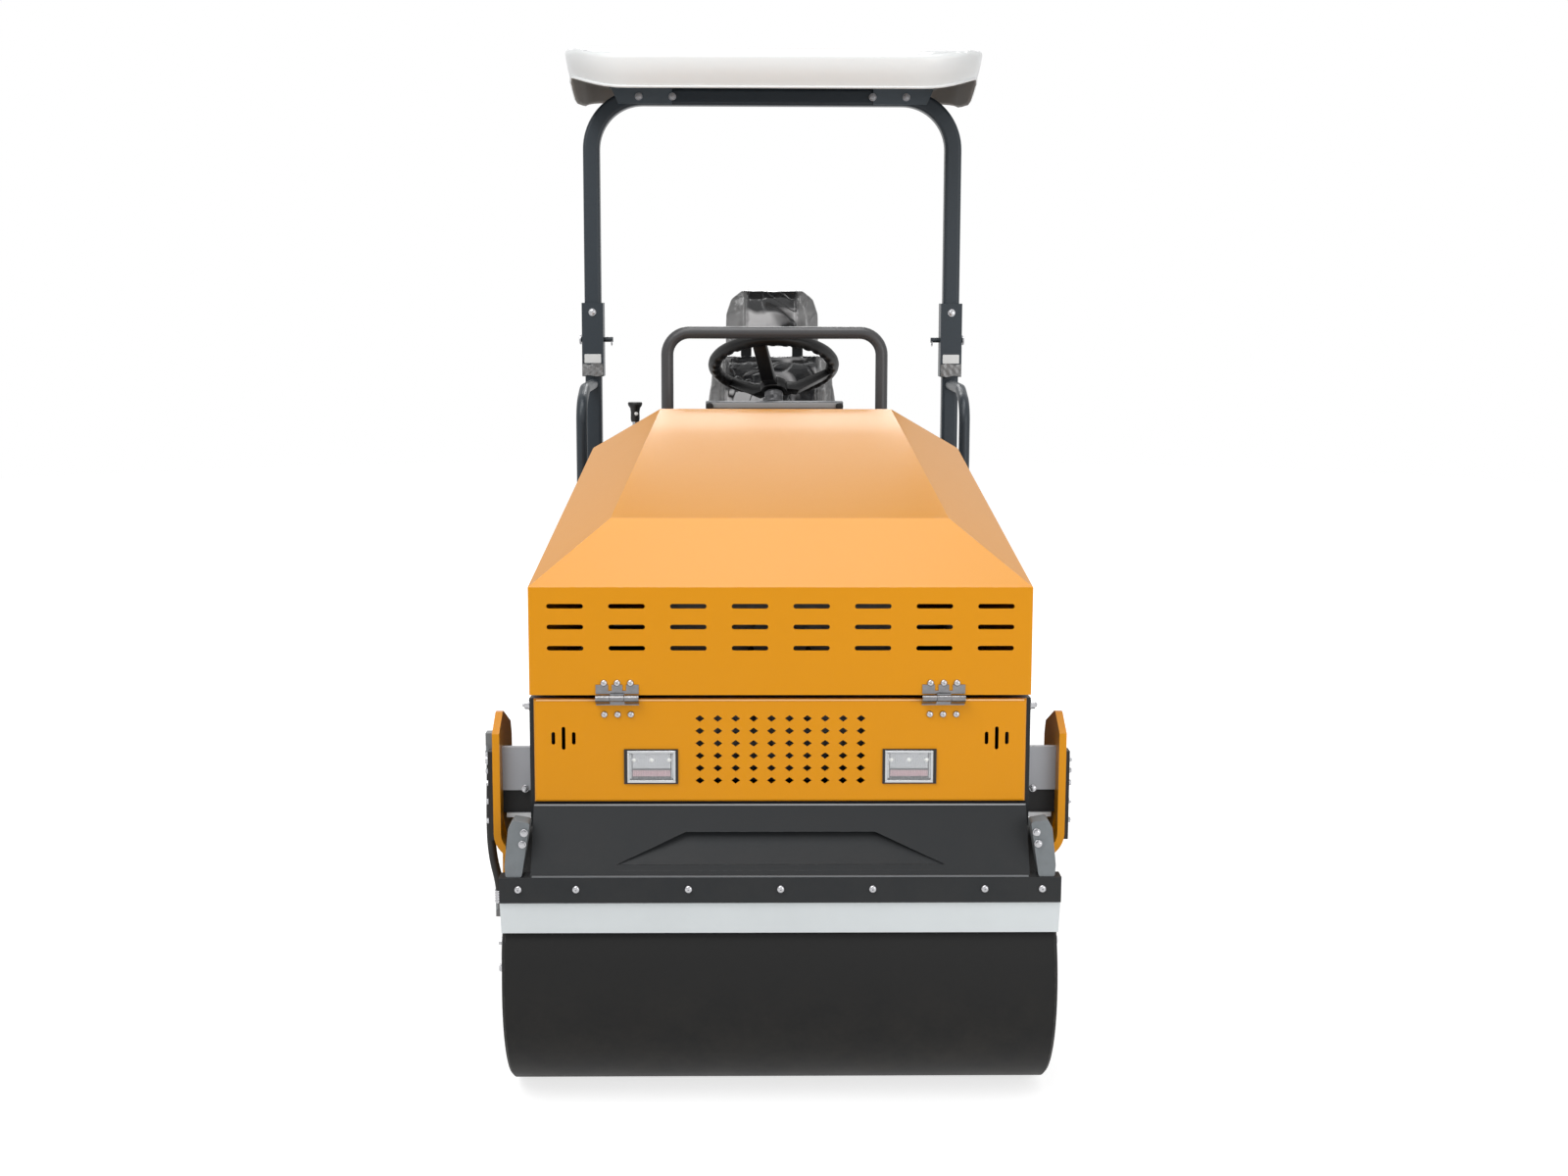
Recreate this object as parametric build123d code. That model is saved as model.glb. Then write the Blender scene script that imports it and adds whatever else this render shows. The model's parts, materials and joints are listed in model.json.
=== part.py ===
from build123d import *
import os
from math import cos, pi, radians, sin, tan

# Small articulated tandem roller with a fold-down roll bar.
# Axes: +X to the machine's left, +Y to its rear, +Z up.
# The origin is on the ground, midway between the drums. Millimetres throughout.

# Drums and overall layout
wheelbase = 1680.0
drum_diameter = 580.0
drum_width = 1200.0
drum_shell = 18.0
drum_recess = 125.0          # how far each end plate sits inside the drum's rim
drum_plate = 22.0
hub_radius = 78.0
axle_radius = 40.0
running_gap = 0.05           # radial clearance of pins and shafts
seat_gap = 0.3               # gap between two pieces that touch where one moves, is soft or is fitted in
drum_radius = drum_diameter / 2
drum_half = drum_width / 2
half_base = wheelbase / 2

# Frame tubs above the drums
plate = 12.0
drum_headroom = 60.0         # from the drum's top to the tub's floor
tub_floor = drum_diameter + drum_headroom
front_tub_top = tub_floor + 285.0
deck_height = tub_floor + 210.0
deck_sheet = 6.0
deck_top = deck_height + deck_sheet
deck_half = drum_half        # half-width of the deck and its turned-down sides
overhang = 210.0             # how far each end wall lies beyond its axle
nose = half_base + overhang
front_half = drum_half - 59.0            # half-width of the frame at its ends
waist_half = front_half - 59.0           # half-width of the front frame where it meets the waist
front_waist = 190.0          # rear wall of the front frame, from the middle
rear_waist = 115.0           # front edge of the deck, from the middle
chamfer_half = 430.0         # half-width of the deck's front edge
chamfer_end = 300.0          # where the deck reaches its full width

# Tow eye at the rear
tow_plate = 24.0
tow_hole_radius = 18.0
tow_eye = (nose + 68.0, deck_height - 76.0)          # y and z of its hole

# Waist joint and steering
lug_gap = 190.0              # clear height between the two lugs
lug_plate = 26.0
joint_height = tub_floor - lug_gap / 2 - lug_plate - 4.0
lug_radius = 62.0
pin_radius = 25.0
neck_half = 130.0
neck_end = half_base - drum_radius - 30.0            # end of the neck, clear of the drum
yoke_reach = 150.0
shaft_radius = 40.0
crank_radius = 150.0
cylinder_base = (250.0, -430.0)
cylinder_pin_radius = 12.0
barrel_radius = 30.0
rod_radius = 15.0
eye_radius = 27.0
eye_width = 28.0
eye_gap = 1.0

# Drum arms, with the bracket and rubber buffer that carry each
arm_outer = drum_half + 32.0
arm_plate = 16.0
arm_step = 10.5              # how far the arm's leg stands inwards of its head
arm_fore, arm_aft = 150.0, 47.0          # from the axle to the head's two edges
arm_top = tub_floor + 225.0
arm_foot_radius = 112.0
curl_height = tub_floor - 36.0           # where the head's lower edge starts to curl inwards
curl_radius = 60.0
curl_turn = 55.0
arm_clear = 6.0              # from the drum's end to the curled edge
strip_reach = 22.0           # thickness of the bolted strip on the head's outer face
strip_span = (tub_floor - 74.0, tub_floor + 130.0)
mount_fore, mount_aft = 110.0, 34.0      # from the axle to the bracket's two edges
bracket_low, bracket_high = tub_floor + 52.0, tub_floor + 150.0
bracket_plate = 14.0
ear_plate = 10.0

# Hydraulic hose on the right front arm
hose_diameter = 20.0
hose_steps = [               # out from the arm's face, behind the axle, above the tub's floor
    (27.0, 2.0, 112.0), (27.0, 2.0, 64.0), (28.0, 0.0, 16.0), (28.5, -4.0, -30.0), (27.5, -11.0, -72.0),
    (24.5, -19.0, -110.0), (18.0, -28.0, -144.0), (9.0, -35.0, -174.0), (4.0, -38.0, -204.0),
    (4.0, -38.0, -232.0),
]
hose_route = [(-arm_outer - out, back - half_base, tub_floor + rise) for out, back, rise in hose_steps]

# Scrapers
strip_gap = 10.0             # from the drum to the scraper bar's front face, fore and aft
strip_y = half_base + drum_radius + strip_gap
strip_bottom, strip_top = drum_radius + 209.0, drum_radius + 265.0
blade_tip = drum_radius + 134.0

# Engine hood
hood_sheet = 4.0
hood_bottom = front_tub_top + 11.0
hood_front = (nose + 20.0, front_half - 3.0, hood_bottom + 234.0)    # distance ahead, half-width, height
hood_crease = (nose - 140.0, front_half - 167.0)                     # distance ahead, half-width
hood_crown = (167.0, front_half - 239.0, hood_bottom + 554.0)
hood_shoulder = (167.0, waist_half - 3.0, hood_bottom + 451.0)
hood_slot = (78.0, 10.5)
slot_columns, slot_pitch_x = 8, 131.5
slot_rows = (hood_bottom + 193.0, hood_bottom + 148.0, hood_bottom + 102.0)

engine_half = 270.0

# Front and rear panels
panel_half = front_half - 10.0
panel_bottom, panel_top = tub_floor + 58.0, front_tub_top
panel_depth = 12.0
panel_sheet = 3.0
panel_fold = 7.0             # outer radius of its folded edges
diamond = (20.0, 15.0)
diamond_columns, diamond_rows = 10, 6
diamond_pitch = (38.6, 27.4)
diamond_centre = panel_bottom + 116.0
bar_slots = (panel_half - 64.0, panel_bottom + 141.0)
lamp_centre = (279.0, panel_bottom + 79.0)
lamp_size = (116.0, 76.0)

# Hinges of the hood
hinge_x = 350.0
hinge_width = 92.0
knuckle_radius = 7.0
hinge_pin_radius = 3.0
hinge_leaf_top = hood_bottom + 23.0
hinge_axis = (-nose - 29.0, hood_bottom - 5.5)       # y and z of the hinge line

# Operator's station
console_half = 192.0
console_top = deck_height + 640.0
rail_y = rear_waist + 27.0
rail_half = 299.0
rail_top = deck_height + 832.0
rail_tube = 34.0
wheel_centre = (rear_waist + 235.0, deck_height + 733.0)             # y and z of the middle of the rim
wheel_tilt = 27.5
wheel_radius = 190.0
wheel_tube = 17.0
wheel_dish = 66.0
spoke_angles = (15, 135, 255)           # how the wheel stands at rest
lever_x, lever_y = -409.0, 440.0
lever_box_top = deck_top + 414.0
seat_front = 780.0           # face of the back cushions
seat_pad = 80.0              # thickness of the back cushions
seat_base = deck_height + 375.0
seat_box_front, seat_box_half = 470.0, 235.0
seat_back_foot = seat_base + 97.0
headrest_foot = seat_base + 393.0
strap_x = 82.0               # the two straps between the back cushions
side_rail_y = 390.0
side_tube = 32.0

# Roll bar
bar_y = half_base - 40.0
bar_half = drum_half - 36.0
bar_tube = 51.0
bar_bend = 160.0
bar_top = deck_height + 1544.0
fold_height = deck_height + 795.0
fold_pin_radius = 8.0
socket_wall = 7.0
socket_gap = 1.0
socket_bottom, socket_top = fold_height - 115.0, fold_height + 115.0
side_rail_top = socket_bottom - 6.0

# Canopy
canopy_half = 604.0
canopy_front, canopy_rear = bar_y - 565.0, bar_y + 335.0
canopy_corner = 190.0
canopy_wall = 8.0
canopy_seat = 370.0          # the two moulded bosses it stands on
gusset_reach = (312.0, 478.0, 506.0)     # inner edge, lower corner and upper corner of the hoop's end plates

both_ends = (("front", -1), ("rear", 1))
stand = (Align.CENTER, Align.CENTER, Align.MIN)      # a cylinder or cone that stands on its own origin


# ---- shapes used all over ----

def box(x_range, y_range, z_range):
    """Square block between two limits on each axis."""
    size = [high - low for low, high in (x_range, y_range, z_range)]
    middle = [(high + low) / 2 for low, high in (x_range, y_range, z_range)]
    return Pos(*middle) * Box(*size)


def filled(*corners):
    """Flat shape with these corners, its face always turned the same way."""
    pairs = zip(corners, corners[1:] + corners[:1])
    turn = sum(x0 * y1 - x1 * y0 for (x0, y0), (x1, y1) in pairs)
    return Polygon(*(corners if turn > 0 else corners[::-1]), align=None)


def as_sketch(outline):
    """A list of corners as a filled sketch; a sketch stays as it is."""
    return filled(*outline) if isinstance(outline, list) else outline


def sheet_x(outline, low, high):
    """Plate lying across X, from its (y, z) outline."""
    return extrude(Plane.YZ.offset(low) * as_sketch(outline), high - low, dir=(1, 0, 0))


def sheet_y(outline, low, high):
    """Plate lying across Y, from its (x, z) outline."""
    return extrude(Plane.XZ.offset(-low) * as_sketch(outline), high - low, dir=(0, 1, 0))


def sheet_z(outline, low, high):
    """Plate lying flat, from its (x, y) outline."""
    return extrude(Plane.XY.offset(low) * as_sketch(outline), high - low, dir=(0, 0, 1))


def rod_x(radius, low, high, y, z):
    return Pos((low + high) / 2, y, z) * Rot(0, 90, 0) * Cylinder(radius, high - low)


def rod_y(radius, low, high, x, z):
    return Pos(x, (low + high) / 2, z) * Rot(90, 0, 0) * Cylinder(radius, high - low)


def rod_z(radius, low, high, x, y):
    return Pos(x, y, (low + high) / 2) * Cylinder(radius, high - low)


def bent_tube(points, bends, section):
    """Tube along straight runs with round bends; section is a sketch centred on its own origin."""
    path = FilletPolyline(*points, radius=bends)
    start = Plane(path @ 0, z_dir=path % 0)
    return sweep(start * section, path=path)


def pair(shape):
    """Both twins of one shape, or of several, as one piece."""
    solids = [solid for one in (shape if isinstance(shape, list) else [shape]) for solid in one.solids()]
    return Compound(children=solids + [mirror(solid, Plane.YZ) for solid in solids])


def at_end(shape, end):
    """The shape as built at the front, or turned to the rear."""
    return shape if end < 0 else mirror(shape, Plane.XZ)


def height_on_plane(a, b, c, x, y):
    """Height at (x, y) of the plane through three points."""
    normal = (Vector(*b) - Vector(*a)).cross(Vector(*c) - Vector(*a))
    return a[2] - (normal.X * (x - a[0]) + normal.Y * (y - a[1])) / normal.Z


def save(name, shape):
    shape = Part() + shape if isinstance(shape, ShapeList) else shape
    export_step(shape, f"parts/{name}.step")


# ---- frames ----

def neck_webs(end_gap):
    """Box of plates that reaches down between the drums, built ahead of the middle."""
    low = joint_height - lug_gap / 2 - lug_plate
    webs = Part()
    for side in (1, -1):
        inner, outer = sorted((side * (neck_half - plate), side * neck_half))
        webs += box((inner, outer), (-neck_end, -end_gap), (low, tub_floor))
    return webs + box((-neck_half, neck_half), (-neck_end, plate - neck_end), (low, tub_floor))


def lug(low):
    """Flat lug with a round nose about the waist pin."""
    outline = filled((-neck_half, -neck_end), (neck_half, -neck_end), (neck_half, -160),
                     (lug_radius, -8), (-lug_radius, -8), (-neck_half, -160))
    shape = sheet_z(outline + Circle(lug_radius), low, low + lug_plate)
    return shape - rod_z(pin_radius + running_gap, low, low + lug_plate, 0, 0)


def front_tub_outline():
    return [(-front_half, -nose), (front_half, -nose),
            (waist_half, -front_waist), (-waist_half, -front_waist)]


def hollow_tub(outline, top):
    """Open box with a flange turned inwards round its rim."""
    solid = sheet_z(outline, tub_floor, top)
    tub = offset(solid, -plate, openings=solid.faces().sort_by(Axis.Z)[-1])
    rim = as_sketch(outline)
    return tub + sheet_z(rim - offset(rim, -46), top - plate, top)


def front_frame():
    """Tub that holds the engine, with a window behind the end panel and two bump stops for the hood."""
    tub = hollow_tub(front_tub_outline(), front_tub_top)
    window = (panel_bottom + 27, panel_top - 30)
    tub -= box((40 - panel_half, panel_half - 40), (-nose - 1, 1 + plate - nose), window)
    for x in (42 - waist_half, waist_half - 42):
        tub += rod_z(14, front_tub_top - plate, hood_bottom - seat_gap, x, -front_waist - 24)
    return tub


def front_neck():
    """Neck under the front tub: side plates, the two waist lugs and the cylinder's ears."""
    low_lug = joint_height - lug_gap / 2 - lug_plate
    return neck_webs(160) + lug(low_lug) + lug(joint_height + lug_gap / 2) + cylinder_bracket()


def cylinder_bracket():
    """Two ears on the neck that hold the steering cylinder's base pin."""
    x, y = cylinder_base
    ears = Part()
    for low in (joint_height - eye_width / 2 - eye_gap - 12, joint_height + eye_width / 2 + eye_gap):
        outline = filled((neck_half, y - 60), (x, y - 30), (x, y + 30), (neck_half, y + 10))
        ear = sheet_z(outline + Pos(x, y) * Circle(30), low, low + 12)
        ears += ear - rod_z(cylinder_pin_radius + running_gap, low, low + 12, x, y)
    return ears


def waist_pin():
    low = joint_height - lug_gap / 2 - lug_plate
    high = joint_height + lug_gap / 2 + lug_plate
    return rod_z(pin_radius, low - 8, high, 0, 0) + rod_z(38, high, high + 14, 0, 0)


def rear_tub_outline():
    return [(-chamfer_half, rear_waist), (chamfer_half, rear_waist), (front_half, chamfer_end),
            (front_half, nose), (-front_half, nose), (-front_half, chamfer_end)]


def rear_frame():
    """Tub under the operator's deck."""
    return hollow_tub(rear_tub_outline(), deck_height)


def rear_neck():
    """Neck under the rear tub, closed by the wall that holds the swing shaft."""
    low = joint_height - lug_gap / 2 - lug_plate
    front = yoke_reach + 25
    neck = at_end(neck_webs(front), 1)
    neck += box((-neck_half, neck_half), (front, front + 25), (low, tub_floor))
    return neck + box((-neck_half, neck_half), (front, front + 90), (low, low + lug_plate))


def tow_bracket():
    """Eye plate welded to the rear wall."""
    y, z = tow_eye
    half = tow_plate / 2
    tow = sheet_x([(nose, z - 50), (y, z - 28), (y, z + 28), (nose, z + 50)], -half, half)
    tow += rod_x(28, -half, half, y, z)
    return tow - rod_x(tow_hole_radius, -half, half, y, z)


def rear_panel():
    """Plain panel across the frame's rear, slotted for the tow eye."""
    y, z = tow_eye
    solid = box((-panel_half, panel_half), (nose, nose + panel_depth), (panel_bottom, deck_height - 2))
    solid = fillet(solid.faces().sort_by(Axis.Y)[-1].edges(), panel_fold)
    panel = offset(solid, -panel_sheet, openings=solid.faces().sort_by(Axis.Y)[0])
    return panel - box((-tow_plate, tow_plate), (nose, y), (z - 60, deck_height))


def swing_shaft():
    """Fore-and-aft shaft on the rear frame, about which the frames roll."""
    return rod_y(shaft_radius, 45, yoke_reach + 25, 0, joint_height)


def waist_yoke():
    """Casting that swings on the waist pin and carries the fore-and-aft shaft."""
    half = lug_gap / 2 - seat_gap
    boss = rod_z(58, joint_height - half, joint_height + half, 0, 0)
    barrel = rod_y(76, 30, yoke_reach, 0, joint_height)
    yoke = boss + barrel
    for low, high in crank_plates():
        outline = filled((0, -40), (crank_radius, -32), (crank_radius, 32), (0, 55))
        yoke += sheet_z(outline + Pos(crank_radius, 0) * Circle(36), low, high)
        pin_low, pin_high = (low - 10, low) if low < joint_height - 20 else (high, high + 10)
        yoke += rod_z(17, pin_low, pin_high, crank_radius, 0)
    yoke -= rod_z(pin_radius + running_gap, joint_height - half, joint_height + half, 0, 0)
    return yoke - rod_y(shaft_radius + running_gap, 44, yoke_reach, 0, joint_height)


def crank_plates():
    gap = eye_width / 2 + eye_gap
    return ((joint_height - gap - 12, joint_height - gap), (joint_height + gap, joint_height + gap + 12))


# ---- steering cylinder ----

def eye_rod(radius, x, y, reach=eye_width / 2):
    """Upright round at the height of the waist joint's middle."""
    return rod_z(radius, joint_height - reach, joint_height + reach, x, y)


def cylinder_line():
    """Plane at the base pin with its Z along the cylinder, and the length to the crank."""
    x, y = cylinder_base
    reach = Vector(crank_radius - x, -y, 0)
    return Plane((x, y, joint_height), x_dir=(0, 0, 1), z_dir=reach), reach.length


def steer_barrel():
    line, length = cylinder_line()
    x, y = cylinder_base
    barrel = line * Pos(0, 0, 40) * Cylinder(barrel_radius, length - 190, align=stand)
    barrel += eye_rod(eye_radius, x, y)
    barrel += line * Pos(0, 0, 30) * Box(eye_width, 36, 40)
    barrel += line * Pos(0, 0, length - 172) * Cylinder(barrel_radius + 4, 30)
    barrel -= line * Pos(0, 0, 90) * Cylinder(rod_radius + running_gap, length, align=stand)
    return barrel - eye_rod(cylinder_pin_radius + running_gap, x, y, eye_width)


def cylinder_pin():
    x, y = cylinder_base
    reach = eye_width / 2 + eye_gap + 12
    pin = rod_z(cylinder_pin_radius, joint_height - reach - 6, joint_height + reach, x, y)
    return pin + rod_z(18, joint_height + reach, joint_height + reach + 6, x, y)


def steer_rod():
    line, length = cylinder_line()
    rod = line * Pos(0, 0, 205) * Cylinder(rod_radius, length - 205 - eye_radius / 2, align=stand)
    return rod + eye_rod(eye_radius, crank_radius, 0)


# ---- drums and what carries them ----

def drum(axle_y):
    """Hollow drum turned about its axle: rim, two set-in end plates and their hubs."""
    half = drum_half
    plate_out = half - drum_recess
    plate_in = plate_out - drum_plate
    bore = axle_radius + running_gap
    inside = drum_radius - drum_shell
    rim = [(0, drum_radius), (half - 6, drum_radius), (half, drum_radius - 6), (half, inside)]
    plate = [(plate_out, inside), (plate_out, hub_radius), (half - 40, hub_radius), (half - 40, bore),
             (plate_in + 4, bore), (plate_in + 4, 0), (plate_in, 0), (plate_in, inside), (0, inside)]
    rim += plate
    half_drum = revolve(filled(*rim), Axis.X)
    return Pos(0, axle_y, drum_radius) * (half_drum + mirror(half_drum, Plane.YZ))


def curled_edge():
    """Section of the head's lower edge, curled inwards until it is clear of the drum's end."""
    x = arm_outer - curl_radius
    turn = radians(curl_turn)
    far = 2 * curl_radius
    wedge = filled((x, curl_height), (x + far, curl_height), (x + far, curl_height - far * sin(turn)),
                   (x + far * cos(turn), curl_height - far * sin(turn)))
    ring = Pos(x, curl_height) * (Circle(curl_radius) - Circle(curl_radius - arm_plate))
    low, top = drum_half + arm_clear, curl_height + 1
    return ring & wedge & filled((low, 0), (low + far, 0), (low + far, top), (low, top))


def drum_arm():
    """Thick arm at the left front: a head beside the frame and a leg down to the drum's hub."""
    axle_y, foot = -half_base, drum_radius
    fore, aft = axle_y - arm_fore, axle_y + arm_aft
    inner, leg_outer = arm_outer - arm_plate, arm_outer - arm_step
    leg_inner = leg_outer - arm_plate
    low = curl_height - curl_radius
    wall = filled((inner, curl_height), (arm_outer, curl_height), (arm_outer, arm_top), (inner, arm_top))
    outline = filled((fore, low), (fore, arm_top - 35), (fore + 58, arm_top), (fore + 72, arm_top),
                     (aft - 15, arm_top - 50), (aft, arm_top - 84), (aft, low))
    head = sheet_y(wall + curled_edge(), fore, aft) & sheet_x(outline, leg_inner, arm_outer)
    ankle = curl_height - 44
    section = [(arm_outer, tub_floor), (arm_outer, curl_height), (leg_outer, ankle), (leg_outer, 100),
               (leg_inner, 100), (leg_inner, ankle), (inner, tub_floor)]
    bent = sheet_y(section, fore, axle_y + arm_foot_radius)
    side = filled((fore + 60, ankle), (fore + 30, tub_floor), (aft, tub_floor), (aft, ankle),
                  (axle_y + arm_foot_radius, foot), (axle_y - arm_foot_radius, foot))
    side += Pos(axle_y, foot) * Circle(arm_foot_radius)
    leg = bent & sheet_x(side, leg_inner, arm_outer)
    return head + leg - rod_x(axle_radius + running_gap, leg_inner, leg_outer, axle_y, foot)


def arm_strip():
    """Bolted strip on the outer face of the arm's head."""
    axle_y = -half_base
    return box((arm_outer, arm_outer + strip_reach), (axle_y - 75, axle_y - 45), strip_span)


def stub_axle(axle_y):
    """Flanged stub axle, from the arm's foot into the drum's hub."""
    seat = arm_outer - arm_step - arm_plate
    flange_out = arm_outer - arm_step
    end = drum_half - drum_recess - 12
    axle = rod_x(axle_radius, end, flange_out, axle_y, drum_radius)
    axle += rod_x(66, seat - 32, seat, axle_y, drum_radius)
    return axle + rod_x(86, flange_out, flange_out + 8, axle_y, drum_radius)


def drum_mount(tub_prism):
    """Angle bracket inside the arm's head and, below the rubber buffer, the ear under the frame."""
    fore, aft = -half_base - mount_fore, mount_aft - half_base
    inner = arm_outer - arm_plate
    across = (waist_half - 82, inner)
    bracket = box(across, (fore, fore + bracket_plate), (bracket_low, bracket_high))
    bracket += box(across, (fore, aft), (bracket_low, bracket_low + bracket_plate))
    web = [(fore, bracket_low), (aft, bracket_low), (aft, bracket_low + bracket_plate),
           (fore + bracket_plate, bracket_high - 12)]
    bracket += sheet_x(web, inner - 46, inner - 34)
    ear = box((waist_half - 12, inner - 8), (fore, aft), (tub_floor - ear_plate, tub_floor))
    return [bracket - tub_prism, ear]


def rubber_buffer(tub_prism):
    fore, aft = -half_base - mount_fore, mount_aft - half_base
    across = (waist_half - 82, arm_outer - arm_plate)
    return box(across, (fore + 6, aft - 6), (tub_floor, bracket_low)) - tub_prism


# ---- hydraulic hose outside the right front arm ----

def hose_path():
    points = [Vector(*p) for p in hose_route]
    radii = []
    for before, here, after in zip(points, points[1:], points[2:]):
        turn = (here - before).get_angle(after - here)
        shorter = min((here - before).length, (after - here).length)
        radii.append(0.45 * shorter / tan(radians(turn / 2)))
    print("hose bend radii:", [round(r) for r in radii])
    return FilletPolyline(*points, radius=radii)


def drum_hose():
    path = hose_path()
    tube = sweep(Plane(path @ 0, z_dir=path % 0) * Circle(hose_diameter / 2), path=path)
    straight = pi * hose_diameter ** 2 / 4 * path.length
    print("hose length", round(path.length), "volume ratio", round(tube.volume / straight, 4))
    return tube


def hose_fittings():
    """Hose tails on the arm's outer face: a hexagon and its block at each end of the hose."""
    x0, y0, z0 = hose_route[0]
    x1, y1, z1 = hose_route[-1]
    fittings = Pos(x0, y0, z0 + 10) * extrude(RegularPolygon(11, 6), 10, both=True)
    fittings += box((x0 - 9, -arm_outer), (y0 - 13, y0 + 13), (z0 + 16, z0 + 44))
    fittings += Pos(x1, y1, z1 - 10) * extrude(RegularPolygon(11, 6), 10, both=True)
    return fittings + box((x1 - 9, arm_step - arm_outer), (y1 - 13, y1 + 13), (z1 - 30, z1 - 16))


# ---- scrapers and end plates ----

def scraper_bar():
    outline = [(-strip_y, strip_bottom), (-strip_y, strip_top), (36 - strip_y, strip_top),
               (36 - strip_y, strip_top - 6), (6 - strip_y, strip_top - 6), (6 - strip_y, strip_bottom)]
    return sheet_x(outline, -drum_half, drum_half)


def scraper_blade():
    top = strip_top - 14
    face = 6 - strip_y
    outline = [(face, top), (face, strip_bottom), (face + 18, blade_tip), (face + 30, blade_tip),
               (face + 12, strip_bottom), (face + 12, top)]
    return sheet_x(outline, -drum_half, drum_half)


def scraper_arm():
    """Cast arm from the sloping plate's side down to the scraper bar."""
    inner = front_half - 8
    outline = [(inner, tub_floor + 34), (inner + 36, tub_floor + 40), (inner + 46, tub_floor + 22),
               (drum_half - 12, strip_top + 25), (drum_half - 14, strip_top), (drum_half - 48, strip_top)]
    arm = sheet_y(outline, 4 - strip_y, min(44 - strip_y, -nose - 6))
    return fillet(arm.edges().filter_by(Axis.Y), 5)


def sloping_plate():
    """Folded plate below the end panel, sloping outwards to the scraper bar, with a cut-out over the drum."""
    top, low = panel_bottom - 4, strip_top
    half = front_half - 8
    skin = [(-nose, top), (-nose - 12, top), (4 - strip_y, low), (14 - strip_y, low), (-nose - 4, top - 9),
            (-nose - 4, top - 44), (-nose, top - 44)]
    sheet = sheet_x(skin, -half, half)
    cheek = [(-nose, top), (-nose - 12, top), (4 - strip_y, low), (40 - strip_y, low), (-nose, tub_floor)]
    for side in (1, -1):
        low_x, high_x = sorted((side * (half - 8), side * half))
        sheet += sheet_x(cheek, low_x, high_x)
    cut = [(-352, low + 23), (-204, low + 85), (204, low + 85), (352, low + 23)]
    sheet -= sheet_y(cut, -strip_y - 60, -nose - 16)
    dish = [(10 - strip_y, low + 12), (14 - strip_y, low + 10), (-nose, low + 96), (-nose, low + 102),
            (-nose - 6, low + 102)]
    return sheet + sheet_x(dish, -348, 348)


# ---- hood and panels ----

def hood_corner_points():
    """Outer corners of the left half, and the crease whose height keeps the side facet flat."""
    front_y, front_x, front_z = hood_front
    crown_y, crown_x, crown_z = hood_crown
    shoulder_y, shoulder_x, shoulder_z = hood_shoulder
    corners = {
        "toe": (front_x, -front_y, hood_bottom),
        "brow": (front_x, -front_y, front_z),
        "crown": (crown_x, -crown_y, crown_z),
        "shoulder": (shoulder_x, -shoulder_y, shoulder_z),
        "heel": (shoulder_x, -shoulder_y, hood_bottom),
    }
    crease_y, crease_x = hood_crease
    z = height_on_plane(corners["brow"], corners["shoulder"], corners["crown"], crease_x, -crease_y)
    corners["crease"] = (crease_x, -crease_y, z)
    return corners


def hood_solid():
    left = hood_corner_points()
    right = {name: (-x, y, z) for name, (x, y, z) in left.items()}
    rings = [
        [left[n] for n in ("toe", "heel", "shoulder", "brow")],
        [left[n] for n in ("brow", "shoulder", "crown", "crease")],
        [right[n] for n in ("toe", "heel", "shoulder", "brow")],
        [right[n] for n in ("brow", "shoulder", "crown", "crease")],
        [left["toe"], left["brow"], right["brow"], right["toe"]],
        [left["brow"], left["crease"], right["crease"], right["brow"]],
        [left["crease"], left["crown"], right["crown"], right["crease"]],
        [left["heel"], left["shoulder"], left["crown"], right["crown"], right["shoulder"], right["heel"]],
        [left["toe"], left["heel"], right["heel"], right["toe"]],
    ]
    return Solid(Shell([Face(Wire.make_polygon(ring)) for ring in rings]))


def hood_shell():
    solid = hood_solid()
    below = solid.faces().sort_by(Axis.Z)[0]
    shell = offset(solid, -hood_sheet, openings=below)
    front_y, front_x, front_z = hood_front
    corners = hood_corner_points()
    toe_x, heel_x, heel_y = corners["toe"][0], corners["heel"][0], corners["heel"][1]
    plan = filled((-toe_x, -front_y), (toe_x, -front_y), (heel_x, heel_y), (-heel_x, heel_y))
    shell += sheet_z(plan - offset(plan, -28), hood_bottom, hood_bottom + hood_sheet)
    face = (-front_y - 1, hood_sheet - front_y)
    return shell - box((-front_x - 1, front_x + 1), face, (hood_bottom - 1, front_z))


def hood_face():
    """Upright front of the hood, with three rows of slots."""
    front_y, front_x, front_z = hood_front
    face = box((-front_x, front_x), (-front_y, hood_sheet - front_y), (hood_bottom, front_z))
    length, height = hood_slot
    slot = Plane.XZ * SlotOverall(length, height)
    slots = Part()
    for row in slot_rows:
        for column in range(slot_columns):
            x = (column - (slot_columns - 1) / 2) * slot_pitch_x
            slots += Pos(x, 0, row) * extrude(slot, 3 * hood_sheet, both=True)
    return face - Pos(0, -front_y, 0) * slots


def folded_tray():
    """Shallow tray of sheet, its rim turned back against the frame round a folded edge."""
    solid = box((-panel_half, panel_half), (-nose - panel_depth, -nose), (panel_bottom, panel_top))
    solid = fillet(solid.faces().sort_by(Axis.Y)[0].edges(), panel_fold)
    return offset(solid, -panel_sheet, openings=solid.faces().sort_by(Axis.Y)[-1])


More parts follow.
